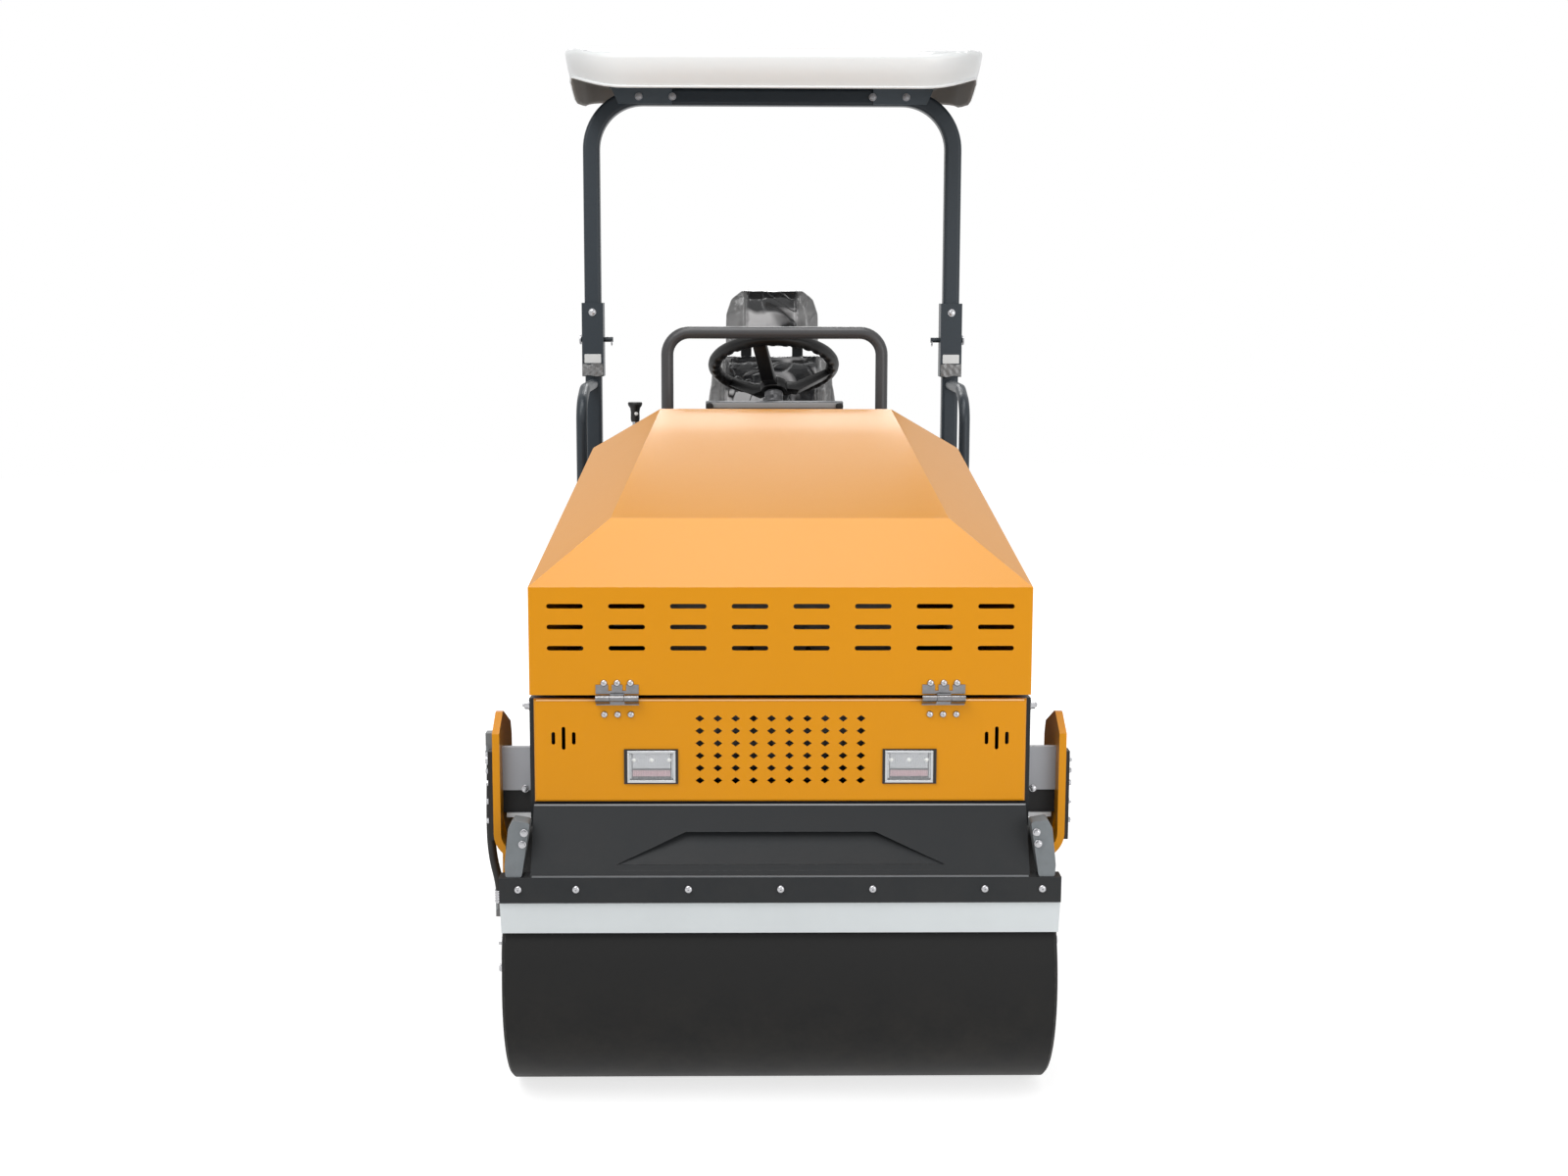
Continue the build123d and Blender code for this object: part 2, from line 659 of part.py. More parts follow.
def front_panel():
    """Tray with rows of diamonds, a lamp opening on each side and three upright slots outside each lamp."""
    panel = folded_tray()
    outer = -nose - panel_depth
    width, height = diamond
    cuts = Part()
    cut_depth = panel_sheet * 2
    lamp_x, lamp_z = lamp_centre
    bars_x, bars_z = bar_slots
    rhomb = filled((-width / 2, 0), (0, -height / 2), (width / 2, 0), (0, height / 2))
    one = extrude(Plane.XZ * rhomb, cut_depth, both=True)
    for row in range(diamond_rows):
        for column in range(diamond_columns):
            x = (column - (diamond_columns - 1) / 2) * diamond_pitch[0]
            z = diamond_centre + (row - (diamond_rows - 1) / 2) * diamond_pitch[1]
            cuts += Pos(x, outer, z) * one
    for side in (1, -1):
        lamp_wide, lamp_high = (size + 2 * seat_gap for size in lamp_size)
        cuts += Pos(side * lamp_x, outer, lamp_z) * Box(lamp_wide, cut_depth * 2, lamp_high)
        for step, length in ((-1, 28), (0, 51), (1, 28)):
            bar = Plane.XZ * SlotOverall(length, 8, rotation=90)
            cuts += Pos(side * bars_x + step * 22, outer, bars_z) * extrude(bar, cut_depth, both=True)
    return panel - cuts


def work_lamp():
    """Lamp housing that shows through the panel, with a lip round a set-back lens."""
    (x, z), (width, height) = lamp_centre, lamp_size
    outer, lip = -nose - panel_depth, 7
    body = box((x - width / 2, x + width / 2), (outer - 4, -nose), (z - height / 2, z + height / 2))
    return body - box((x - width / 2 + lip, x + width / 2 - lip), (outer - 5, outer + 1),
                      (z - height / 2 + lip, z + height / 2 - lip))


# ---- hood hinges ----

def hinge_lower(side):
    """Leaf that comes out over the panel's top edge, with the two outer knuckles and the pin."""
    y, z = hinge_axis
    x = side * hinge_x
    low, high = x - hinge_width / 2, x + hinge_width / 2
    face = -nose - panel_depth
    outline = [(face, z - 18), (face, z - 9), (y + 5, z - 3), (y, z - 2), (y - 5, z - 6), (face - 3, z - 16),
               (face - 3, z - 18)]
    leaf = sheet_x(outline, low, high)
    third = hinge_width / 3
    outer_low, outer_high = low + third - 0.5, high - third + 0.5
    leaf -= box((outer_low, outer_high), (y - 10, face - 3.5), (z - 25, z + 15))
    for a, b in ((low, outer_low), (outer_high, high)):
        leaf += rod_x(knuckle_radius, a, b, y, z)
    return leaf + rod_x(hinge_pin_radius, low, high, y, z)


def hinge_upper(side):
    """Leaf on the hood's face, notched between its three screws, with the middle knuckle."""
    y, z = hinge_axis
    x = side * hinge_x
    third = hinge_width / 3
    face = -hood_front[0]
    half = hinge_width / 2
    leaf = box((x - half, x + half), (face - 3, face), (hood_bottom + 3, hinge_leaf_top))
    for notch in (x - third / 2, x + third / 2):
        leaf -= box((notch - 4, notch + 4), (face - 4, face + 1), (hinge_leaf_top - 13, hinge_leaf_top + 1))
    middle_low, middle_high = x - third / 2 + 0.5, x + third / 2 - 0.5
    neck = box((middle_low, middle_high), (y, face), (z + 2, z + 10))
    knuckle = rod_x(knuckle_radius, middle_low, middle_high, y, z)
    return leaf + neck + knuckle - rod_x(hinge_pin_radius + running_gap, x - third, x + third, y, z)


def engine_block():
    """Plain block for the engine, on four feet."""
    low, high = tub_floor + 60, hood_bottom + 244
    front, rear = 150 - nose, -front_waist - 240
    block = box((-engine_half, engine_half), (front, rear), (low, high))
    block = chamfer(block.edges().filter_by(Axis.Y).group_by(Axis.Z)[-1], 60)
    for x in (70 - engine_half, engine_half - 70):
        for y in (front + 40, rear - 40):
            block += box((x - 35, x + 35), (y - 30, y + 30), (tub_floor + plate, low))
    return block


# ---- operator's station ----

def deck():
    """Floor plate over the rear tub, turned down at its sides."""
    shoulder = chamfer_end + 60
    outline = [(-chamfer_half, rear_waist), (chamfer_half, rear_waist), (deck_half, shoulder),
               (deck_half, nose), (-deck_half, nose), (-deck_half, shoulder)]
    sheet = sheet_z(outline, deck_height, deck_top)
    for side in (1, -1):
        low_x, high_x = sorted((side * (deck_half - 5), side * deck_half))
        sheet += box((low_x, high_x), (shoulder, nose), (deck_height - 34, deck_top))
    return sheet


def console():
    """Upright box behind the waist, its top sloping towards the operator."""
    front = rear_waist + 8
    rear, foot = rear_waist + 245, rear_waist + 155
    outline = [(front, deck_top), (front, console_top - 8), (front + 10, console_top),
               (front + 60, console_top), (rear, console_top - 70), (rear, console_top - 160),
               (foot, console_top - 240), (foot, deck_top)]
    solid = sheet_x(outline, -console_half, console_half)
    return fillet(solid.edges().filter_by(Axis.Z), 12)


def wheel_plane():
    y, z = wheel_centre
    normal = (0, sin(radians(wheel_tilt)), cos(radians(wheel_tilt)))
    return Plane((0, y, z), x_dir=(1, 0, 0), z_dir=normal)


def steering_column():
    top = -wheel_dish - 26
    tube = wheel_plane() * Pos(0, 0, top - 130) * Cylinder(24, 130, align=stand)
    tube += wheel_plane() * Pos(0, 0, top) * Cylinder(10, 20, align=stand)
    return tube - console()


def steering_wheel():
    """Three-spoke dished wheel: round rim, hub set down along the column, and spokes rising to the rim."""
    rim = Torus(wheel_radius - wheel_tube, wheel_tube)
    hub = Pos(0, 0, -wheel_dish) * Cylinder(38, 30)
    hub -= Pos(0, 0, -wheel_dish - 15) * Cylinder(10 + running_gap, 22, align=stand)
    wheel = rim + hub
    for angle in spoke_angles:
        spoke = Plane.XZ * filled((24, -wheel_dish - 8), (24, -wheel_dish + 10), (60, -wheel_dish + 10),
                                  (wheel_radius - wheel_tube, 6), (wheel_radius - wheel_tube, -8),
                                  (66, -wheel_dish - 8))
        wheel += Rot(0, 0, angle) * extrude(spoke, 17, both=True)
    return wheel_plane() * wheel


def grab_rail():
    low = deck_top
    points = [(-rail_half, rail_y, low), (-rail_half, rail_y, rail_top),
              (rail_half, rail_y, rail_top), (rail_half, rail_y, low)]
    rail = bent_tube(points, 62, Circle(rail_tube / 2))
    for x in (-rail_half, rail_half):
        rail += box((x - 30, x + 30), (rail_y - 26, rail_y + 34), (low, low + 6))
    return rail


def side_rail():
    low = deck_top
    x = bar_half
    post_face = bar_y - bar_tube / 2
    level = side_rail_top - 18
    points = [(x, side_rail_y, low), (x, side_rail_y, level - 42),
              (x, side_rail_y + 110, level), (x, post_face, level)]
    return bent_tube(points, 70, Circle(side_tube / 2))


def seat_box():
    """Pedestal under the seat, open at its front for the feet to tuck in."""
    low = deck_top
    front, rear = seat_box_front, seat_box_front + 430
    outline = [(front, low + 120), (front + 30, low), (rear, low), (rear, seat_base), (front, seat_base)]
    solid = sheet_x(outline, -seat_box_half, seat_box_half)
    return fillet(solid.edges().filter_by(Axis.Z), 25)


def seat_cushion():
    low = seat_base + seat_gap
    front, rear = seat_box_front - 50, seat_front + 40
    outline = [(front, low + 10), (front + 20, low + 90), (rear, low + 74), (rear, low),
               (seat_box_front, low)]
    half = seat_box_half - 3
    return fillet(sheet_x(outline, -half, half).edges().filter_by(Axis.X), 16)


def seat_back():
    low = seat_back_foot
    right_side = [(-226, low), (-192, low + 236), (-158, low + 280)]
    outline = right_side + [(-x, z) for x, z in reversed(right_side)]
    return sheet_y(outline, seat_front, seat_front + seat_pad)


def headrest():
    low = headrest_foot
    right_side = [(-152, low), (-150, low + 110), (-134, low + 158), (-98, low + 187)]
    outline = right_side + [(-x, z) for x, z in reversed(right_side)]
    return sheet_y(outline, seat_front + 4, seat_front + seat_pad)


def seat_frame():
    """Steel back of the seat with the two straps that carry the upper cushion."""
    face = seat_front + seat_pad + seat_gap
    straps = headrest_foot - 33
    back = box((-190, 190), (face, face + 12), (seat_base, straps))
    for x in (-strap_x, strap_x):
        back += box((x - 17, x + 17), (face, face + 12), (straps, headrest_foot + 142))
    return back


def lever_box():
    top = lever_box_top
    front, rear = lever_y - 60, lever_y + 220
    outline = [(front, deck_top), (front, top - 30), (front + 40, top),
               (rear - 40, top), (rear, top - 30), (rear, deck_top)]
    return sheet_x(outline, lever_x - 41, lever_x + 39)


def travel_lever():
    """Straight stem with a tapered grip."""
    low = lever_box_top
    stem = rod_z(8, low, low + 150, lever_x, lever_y)
    return stem + Pos(lever_x, lever_y, low + 145) * Cone(13, 22, 55, align=stand)


# ---- roll bar ----

def bar_section(size=bar_tube, corner=10):
    return RectangleRounded(size, size, corner)


def roll_post():
    """Fixed post with the open-backed socket in which the upper hoop folds."""
    half = bar_tube / 2
    x = bar_half
    post = box((x - half, x + half), (bar_y - half, bar_y + half), (deck_top, fold_height - half - 5))
    post = fillet(post.edges().filter_by(Axis.Z), 10)
    wall = half + socket_gap
    reach = wall + socket_wall
    socket = box((x - reach, x + reach), (bar_y - reach, bar_y + 30), (socket_bottom, socket_top))
    socket -= box((x - wall, x + wall), (bar_y - wall, bar_y + 31), (socket_bottom - 1, socket_top + 1))
    socket += box((x - wall, x + wall), (bar_y - wall, bar_y + half), (socket_bottom, fold_height - half - 5))
    pin = rod_x(fold_pin_radius, x - reach - 28, x + reach + 6, bar_y, fold_height)
    foot = box((x - 80, deck_half - 6), (bar_y - 60, bar_y + 60), (deck_top, deck_top + 12))
    return post + socket + pin + foot


def roll_hoop():
    """Upper hoop: square tube bent over the operator, with round feet about the fold pins."""
    half = bar_tube / 2
    x = bar_half
    points = [(-x, bar_y, fold_height), (-x, bar_y, bar_top), (x, bar_y, bar_top), (x, bar_y, fold_height)]
    hoop = bent_tube(points, bar_bend, bar_section())
    for foot in (-x, x):
        hoop += rod_x(half, foot - half, foot + half, bar_y, fold_height)
        hoop -= rod_x(fold_pin_radius + running_gap, foot - half - 1, foot + half + 1, bar_y, fold_height)
    return hoop


def cross_member():
    """Two bolted end plates on the hoop's front, joined over its top by a folded angle the canopy sits on."""
    half = bar_tube / 2
    face = bar_y - half
    top = bar_top + half + 16
    plates = Part()
    for side in (-1, 1):
        inner, low_corner, high_corner = (side * x for x in gusset_reach)
        outline = [(inner, bar_top - 22), (low_corner, bar_top - 22), (high_corner, top), (inner, top)]
        plates += sheet_y(outline, face - 6, face)
    across = (-gusset_reach[2], gusset_reach[2])
    plates += box(across, (face - 6, bar_y + half + 30), (top - 5, top))
    return plates + box(across, (face + 6, face + 11), (bar_top + half, top))


def canopy():
    """Moulded roof: drooping lip in front, rounded corners, hollow below."""
    member_top = bar_top + bar_tube / 2 + 16
    plan = RectangleRounded(2 * canopy_half, canopy_rear - canopy_front, canopy_corner)
    middle = (canopy_rear + canopy_front) / 2
    low, high = bar_top - 94, bar_top + 206
    block = sheet_z(Pos(0, middle) * plan, low, high)
    profile = [(canopy_front, bar_top + 14), (canopy_front + 76, bar_top - 24), (canopy_rear, bar_top + 34),
               (canopy_rear, bar_top + 76),
               (bar_y - 100, bar_top + 104), (bar_y - 300, bar_top + 104), (canopy_front, bar_top + 56)]
    roof = block & sheet_x(profile, -canopy_half, canopy_half)
    cavity = sheet_z(Pos(0, middle) * offset(plan, -2 * canopy_wall), low, high)
    inner = [(y, z - canopy_wall * 1.5) for y, z in profile[3:]]
    inner = [(canopy_rear, low)] + inner + [(canopy_front, low)]
    roof -= cavity & sheet_x(inner, -canopy_half, canopy_half)
    for x in (-canopy_seat, canopy_seat):
        roof += box((x - 55, x + 55), (bar_y - 34, bar_y + 50), (member_top + seat_gap, bar_top + 86))
    return roof


# ---- all nodes ----

def build():
    front_prism = sheet_z(front_tub_outline(), tub_floor - 5, front_tub_top + 5)
    rear_prism = mirror(sheet_z(rear_tub_outline(), tub_floor - 5, deck_height + 5), Plane.XZ)
    save("front_frame", front_frame())
    save("front_neck", front_neck())
    save("waist_pin", waist_pin())
    save("waist_yoke", waist_yoke())
    save("steer_barrel", steer_barrel())
    save("steer_base_pin", cylinder_pin())
    save("steer_rod", steer_rod())
    save("rear_frame", rear_frame())
    save("rear_neck", rear_neck())
    save("tow_bracket", tow_bracket())
    save("swing_shaft", swing_shaft())
    for end_name, end in both_ends:
        axle_y = end * half_base
        prism = front_prism if end < 0 else rear_prism
        save(f"{end_name}_drum", drum(axle_y))
        save(f"{end_name}_scraper_bar", at_end(scraper_bar(), end))
        save(f"{end_name}_scraper_blade", at_end(scraper_blade(), end))
        save(f"{end_name}_sloping_plate", at_end(sloping_plate(), end))
        save(f"{end_name}_drum_arms", pair(at_end(drum_arm(), end)))
        save(f"{end_name}_arm_strips", pair(at_end(arm_strip(), end)))
        save(f"{end_name}_axles", pair(stub_axle(axle_y)))
        save(f"{end_name}_mounts", pair([at_end(piece, end) for piece in drum_mount(prism)]))
        save(f"{end_name}_buffers", pair(at_end(rubber_buffer(prism), end)))
        save(f"{end_name}_scraper_arms", pair(at_end(scraper_arm(), end)))
    save("drum_hose", drum_hose())
    save("hose_fittings", hose_fittings())
    save("hood", hood_shell())
    save("hood_face", hood_face())
    save("front_panel", front_panel())
    save("rear_panel", rear_panel())
    save("engine_block", engine_block())
    save("work_lamps", pair(work_lamp()))
    save("hinge_lower", pair(hinge_lower(1)))
    save("hinge_upper", pair(hinge_upper(1)))
    save("roll_posts", pair(roll_post()))
    save("side_rails", pair(side_rail()))
    save("deck", deck())
    save("console", console())
    save("steering_column", steering_column())
    save("steering_wheel", steering_wheel())
    save("grab_rail", grab_rail())
    save("seat_box", seat_box())
    save("seat_cushion", seat_cushion())
    save("seat_back", seat_back())
    save("headrest", headrest())
    save("seat_frame", seat_frame())
    save("lever_box", lever_box())
    save("travel_lever", travel_lever())
    save("roll_hoop", roll_hoop())
    save("cross_member", cross_member())
    save("canopy", canopy())


os.makedirs("parts", exist_ok=True)
build()
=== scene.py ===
import json
import math

import bmesh
import bpy
from mathutils import Matrix, Vector


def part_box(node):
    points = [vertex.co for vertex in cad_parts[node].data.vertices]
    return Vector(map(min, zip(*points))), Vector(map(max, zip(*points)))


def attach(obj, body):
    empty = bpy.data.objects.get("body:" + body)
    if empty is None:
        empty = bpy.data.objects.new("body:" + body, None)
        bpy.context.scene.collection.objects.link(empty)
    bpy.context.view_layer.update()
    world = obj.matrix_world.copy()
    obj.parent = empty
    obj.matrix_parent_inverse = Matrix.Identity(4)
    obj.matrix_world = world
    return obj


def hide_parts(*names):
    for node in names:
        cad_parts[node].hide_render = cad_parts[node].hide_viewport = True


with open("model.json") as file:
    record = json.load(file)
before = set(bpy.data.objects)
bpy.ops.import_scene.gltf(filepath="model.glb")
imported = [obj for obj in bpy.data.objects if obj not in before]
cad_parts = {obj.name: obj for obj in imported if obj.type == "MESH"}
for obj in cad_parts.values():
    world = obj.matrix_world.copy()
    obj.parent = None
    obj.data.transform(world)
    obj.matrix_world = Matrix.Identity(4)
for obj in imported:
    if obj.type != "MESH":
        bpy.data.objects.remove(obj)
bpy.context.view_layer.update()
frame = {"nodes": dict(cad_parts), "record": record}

cadNodes = frame["nodes"]
front, rear = "front_frame", "rear_frame"
sides = (-1, 1)
print("frame loaded")


# selecting, editing and finishing

def leaveEdit():
    bpy.ops.object.mode_set(mode="OBJECT")


def deselectAll():
    if bpy.context.object and bpy.context.object.mode != "OBJECT":
        leaveEdit()
    bpy.ops.object.select_all(action="DESELECT")


def activate(piece):
    deselectAll()
    piece.select_set(True)
    bpy.context.view_layer.objects.active = piece


def editAll(piece, kind="VERT", action="SELECT"):
    activate(piece)
    bpy.ops.object.mode_set(mode="EDIT")
    bpy.ops.mesh.select_mode(type=kind)
    bpy.ops.mesh.select_all(action=action)


# opens a piece in edit mode with the faces, edges or points that pass a test selected
def editPart(piece, kind, wanted):
    editAll(piece, kind, "DESELECT")
    mesh = bmesh.from_edit_mesh(piece.data)
    for part in dict(FACE=mesh.faces, EDGE=mesh.edges, VERT=mesh.verts)[kind]:
        part.select_set(bool(wanted(part)))
    bmesh.update_edit_mesh(piece.data)


def extrudeBy(step):
    bpy.ops.mesh.extrude_region_move(TRANSFORM_OT_translate=dict(value=step))


def closeShell(piece, gap=0.00002):
    editAll(piece)
    bpy.ops.mesh.remove_doubles(threshold=gap)
    bpy.ops.mesh.normals_make_consistent(inside=False)
    leaveEdit()
    return piece


def bevelWhere(piece, wanted, width, segments=2):
    editPart(piece, "EDGE", wanted)
    bpy.ops.mesh.bevel(offset=width, segments=segments, affect="EDGES")
    leaveEdit()
    return piece


def sharp(edge, degrees=30):
    return edge.is_manifold and edge.calc_face_angle(0) > math.radians(degrees)


def bevelSharp(piece, width, segments=2):
    return bevelWhere(piece, sharp, width, segments)


# a rim and a sunk middle on the faces that look up
def insetTop(piece, rim, depth, level=0.9):
    editPart(piece, "FACE", lambda face: face.normal.z > level)
    bpy.ops.mesh.inset(thickness=rim, depth=depth)
    leaveEdit()
    return piece


def useModifier(piece, kind, **settings):
    activate(piece)
    modifier = piece.modifiers.new(kind.title(), kind)
    for name, value in settings.items():
        setattr(modifier, name, value)
    bpy.ops.object.modifier_apply(modifier=modifier.name)


def settle(piece):
    activate(piece)
    bpy.ops.object.transform_apply(location=True, rotation=True, scale=True)
    return piece


def placeMesh(piece, matrix):
    piece.data.transform(matrix)
    if matrix.determinant() < 0:
        piece.data.flip_normals()
    piece.data.update()
    return piece


def linked(name, data):
    piece = bpy.data.objects.new(name, data)
    bpy.context.scene.collection.objects.link(piece)
    return piece


# a copy with its own mesh, set at a place
def copyOf(template, matrix):
    return placeMesh(linked(template.name, template.data.copy()), matrix)


def remove(piece):
    bpy.data.objects.remove(piece, do_unlink=True)


# copies at several places, in the stead of their template
def copiesOf(template, places):
    twins = [copyOf(template, place) for place in places]
    remove(template)
    return twins


def joinPieces(pieces):
    deselectAll()
    for piece in pieces:
        piece.select_set(True)
    bpy.context.view_layer.objects.active = pieces[0]
    if len(pieces) > 1:
        bpy.ops.object.join()
    return pieces[0]


def moveTo(x, y, z):
    return Matrix.Translation((x, y, z))


# sets what is modelled along +Z at a place, looking along a direction
def facing(direction, place=(0, 0, 0), turn=0.0):
    look = Vector(direction).to_track_quat("Z", "Y").to_matrix().to_4x4()
    return moveTo(*place) @ look @ Matrix.Rotation(turn, 4, "Z")


def forward(*place):
    return facing((0, -1, 0), place)


def addCylinder(count, radius, depth, middle=0.0):
    deselectAll()
    bpy.ops.mesh.primitive_cylinder_add(vertices=count, radius=radius, depth=depth, location=(0, 0, middle))
    return settle(bpy.context.object)


# a block between two corners, with its edges bevelled
def addBlock(low, high, edge=0.0, segments=1):
    deselectAll()
    low, high = Vector(low), Vector(high)
    bpy.ops.mesh.primitive_cube_add(size=1, location=(low + high) / 2)
    block = bpy.context.object
    block.scale = high - low
    settle(block)
    return bevelSharp(block, edge, segments) if edge else block


def addRing(radius, tube, around, across):
    deselectAll()
    bpy.ops.mesh.primitive_torus_add(major_radius=radius, minor_radius=tube, location=(0, 0, 0),
                                     major_segments=around, minor_segments=across)
    return settle(bpy.context.object)


# a line of points drawn one after another from a single point
def drawLine(points, closed=False):
    deselectAll()
    bpy.ops.mesh.primitive_plane_add(size=0.1, location=(0, 0, 0))
    piece = bpy.context.object
    editAll(piece)
    bpy.ops.mesh.merge(type="CENTER")
    bpy.ops.transform.translate(value=points[0])
    for start, end in zip(points, points[1:]):
        bpy.ops.mesh.extrude_vertices_move(TRANSFORM_OT_translate=dict(value=Vector(end) - Vector(start)))
    bpy.ops.mesh.select_all(action="SELECT")
    if closed:
        bpy.ops.mesh.edge_face_add()
    leaveEdit()
    return piece


# a turned piece about Z from its outline of radius and height in millimetres
def turned(outline, steps=32):
    piece = drawLine([(radius / 1000, 0, height / 1000) for radius, height in outline])
    editAll(piece)
    bpy.ops.mesh.spin(steps=steps, angle=2 * math.pi, center=(0, 0, 0), axis=(0, 0, 1))
    leaveEdit()
    return closeShell(piece)


# a plate from a closed outline of points, thickened along a step, all in millimetres
def plateFrom(outline, step):
    piece = drawLine([Vector(point) / 1000 for point in outline], closed=True)
    editPart(piece, "FACE", lambda face: True)
    extrudeBy(Vector(step) / 1000)
    leaveEdit()
    return closeShell(piece)


# a flat plate with rounded corners, standing on z = 0
def roundPlate(width, height, thick, corner, edge, segments=1):
    deselectAll()
    bpy.ops.mesh.primitive_plane_add(size=1, location=(0, 0, 0))
    piece = bpy.context.object
    piece.scale = (width, height, 1)
    settle(piece)
    editPart(piece, "VERT", lambda point: True)
    bpy.ops.mesh.bevel(offset=corner, segments=4, affect="VERTICES")
    bpy.ops.mesh.select_all(action="SELECT")
    extrudeBy((0, 0, thick))
    leaveEdit()
    closeShell(piece)
    return bevelSharp(piece, edge, segments) if edge else piece


# a round tube along a line of points
def tubeAlong(points, radius, closed=False):
    piece = drawLine(points)
    if closed:
        tips = [Vector(points[0]), Vector(points[-1])]
        editPart(piece, "VERT", lambda point: min((point.co - tip).length for tip in tips) < 1e-5)
        bpy.ops.mesh.edge_face_add()
        leaveEdit()
    activate(piece)
    bpy.ops.object.convert(target="CURVE")
    curve = bpy.context.object.data
    bpy.ops.object.mode_set(mode="EDIT")
    bpy.ops.curve.select_all(action="SELECT")
    bpy.ops.curve.spline_type_set(type="NURBS")
    leaveEdit()
    for spline in curve.splines:
        spline.order_u = 3
        spline.use_endpoint_u = not closed
        spline.resolution_u = 4
    curve.bevel_depth = radius
    curve.bevel_resolution = 3
    curve.use_fill_caps = not closed
    bpy.ops.object.convert(target="MESH")
    return closeShell(bpy.context.object)


# shader nodes: an input takes a value or another node's output

def feed(tree, socket, value):
    if isinstance(value, bpy.types.NodeSocket):
        tree.links.new(value, socket)
    elif value is not None:
        socket.default_value = value


# a node with its first inputs in order, then its settings and inputs by name
def addNode(tree, kind, *first, **named):
    node = tree.nodes.new(kind)
    for name, value in named.items():
        if hasattr(node, name):
            setattr(node, name, value)
        else:
            feed(tree, node.inputs[name.replace("_", " ")], value)
    for socket, value in zip(node.inputs, first):
        feed(tree, socket, value)
    return node


def maths(tree, operation, *values):
    return addNode(tree, "ShaderNodeMath", *values, operation=operation).outputs[0]


def times(tree, *values):
    return maths(tree, "MULTIPLY", *values)


def mixColour(tree, share, first, second):
    unused = [None] * 5
    return addNode(tree, "ShaderNodeMix", share, *unused, first, second, data_type="RGBA").outputs[2]


# climbs from start to end while the value goes from low to high
def ramp(tree, value, low=0.0, high=1.0, start=0.0, end=1.0, **settings):
    return addNode(tree, "ShaderNodeMapRange", value, low, high, start, end, **settings).outputs[0]


def noise(tree, place, scale, **values):
    return addNode(tree, "ShaderNodeTexNoise", Vector=place, Scale=scale, **values).outputs["Fac"]


def objectPlace(tree):
    return tree.nodes.new("ShaderNodeTexCoord").outputs["Object"]


# camera, the hydraulic hose, floor and light

camera = dict(place=(-0.059, -4.704, 1.790), lens=39.75, sensor=36, shiftX=0.0054, shiftY=-0.0497, pitch=7.126,
    turn=0.743, roll=0.132, reach=60)


def makeCamera():
    data = bpy.data.cameras.new("camera")
    data.lens, data.sensor_width = camera["lens"], camera["sensor"]
    data.shift_x, data.shift_y = camera["shiftX"], camera["shiftY"]
    data.clip_end = camera["reach"]
    holder = linked("camera", data)
    pitch, turn, roll = (math.radians(camera[key]) for key in ("pitch", "turn", "roll"))
    aim = Matrix.Rotation(-turn, 4, "Z") @ Matrix.Rotation(math.pi / 2 - pitch, 4, "X")
    holder.matrix_world = moveTo(*camera["place"]) @ aim @ Matrix.Rotation(roll, 4, "Z")
    bpy.context.scene.camera = holder


hose = dict(length=0.350, diameter=0.020,
    route=[(-0.659, -0.838, 0.752), (-0.659, -0.838, 0.704), (-0.660, -0.840, 0.656), (-0.6605, -0.844, 0.610),
    (-0.6595, -0.851, 0.568), (-0.6565, -0.859, 0.530), (-0.650, -0.868, 0.496), (-0.641, -0.875, 0.466),
    (-0.636, -0.878, 0.436), (-0.636, -0.878, 0.408)])


def makeHose():
    curve = bpy.data.curves.new("hydraulicHose", "CURVE")
    curve.dimensions = "3D"
    spline = curve.splines.new("NURBS")
    spline.points.add(len(hose["route"]) - 1)
    for point, place in zip(spline.points, hose["route"]):
        point.co = (*place, 1)
    spline.order_u = 3
    spline.use_endpoint_u = True
    spline.resolution_u = 10
    curve.bevel_depth = hose["diameter"] / 2
    curve.bevel_resolution = 5
    curve.use_fill_caps = True
    return linked("hydraulicHose", curve)


# the sheen lamp only lights what mirrors it, the hood's slope above all
lamps = dict(
    keyLamp=dict(place=(-2.2, -3.9, 5.2), aim=(0, -0.4, 1.0), size=3.4, power=138),
    fillLamp=dict(place=(3.2, -4.6, 1.9), aim=(0, -0.2, 1.0), size=3.2, power=70),
    backLamp=dict(place=(0, 5.4, 5.2), aim=(0, 0.2, 1.2), size=2.9, power=165),
    sheenLamp=dict(place=(0, -0.8, 5.6), aim=(0, -1.0, 1.2), size=3.2, power=170))
daylight = dict(strength=0.52, floorColour=0.60, floorLift=0.72, floorRadius=14)


def makeLamps():
    for name, lamp in lamps.items():
        data = bpy.data.lights.new(name, "AREA")
        data.shape = "DISK"
        data.size, data.energy = lamp["size"], lamp["power"]
        holder = linked(name, data)
        place = Vector(lamp["place"])
        look = (Vector(lamp["aim"]) - place).to_track_quat("-Z", "Y").to_matrix().to_4x4()
        holder.matrix_world = moveTo(*place) @ look
        holder.visible_camera = False
        holder.visible_diffuse = name != "sheenLamp"


# share of the light paths that see the white surroundings
def whitePaths(tree):
    path = tree.nodes.new("ShaderNodeLightPath").outputs
    seen = path["Is Camera Ray"]
    for name in ("Is Glossy Ray", "Is Transmission Ray"):
        seen = maths(tree, "MAXIMUM", seen, path[name])
    return seen


def makeWorld():
    world = bpy.data.worlds.new("studio")
    bpy.context.scene.world = world
    world.use_nodes = True
    tree = world.node_tree
    light = tree.nodes["Background"]
    feed(tree, light.inputs["Color"], (1, 1, 1, 1))
    feed(tree, light.inputs["Strength"], daylight["strength"])
    seen = addNode(tree, "ShaderNodeBackground", (1, 1, 1, 1), 1.0)
    mixer = addNode(tree, "ShaderNodeMixShader", whitePaths(tree), light.outputs[0], seen.outputs[0])
    tree.links.new(mixer.outputs[0], tree.nodes["World Output"].inputs["Surface"])


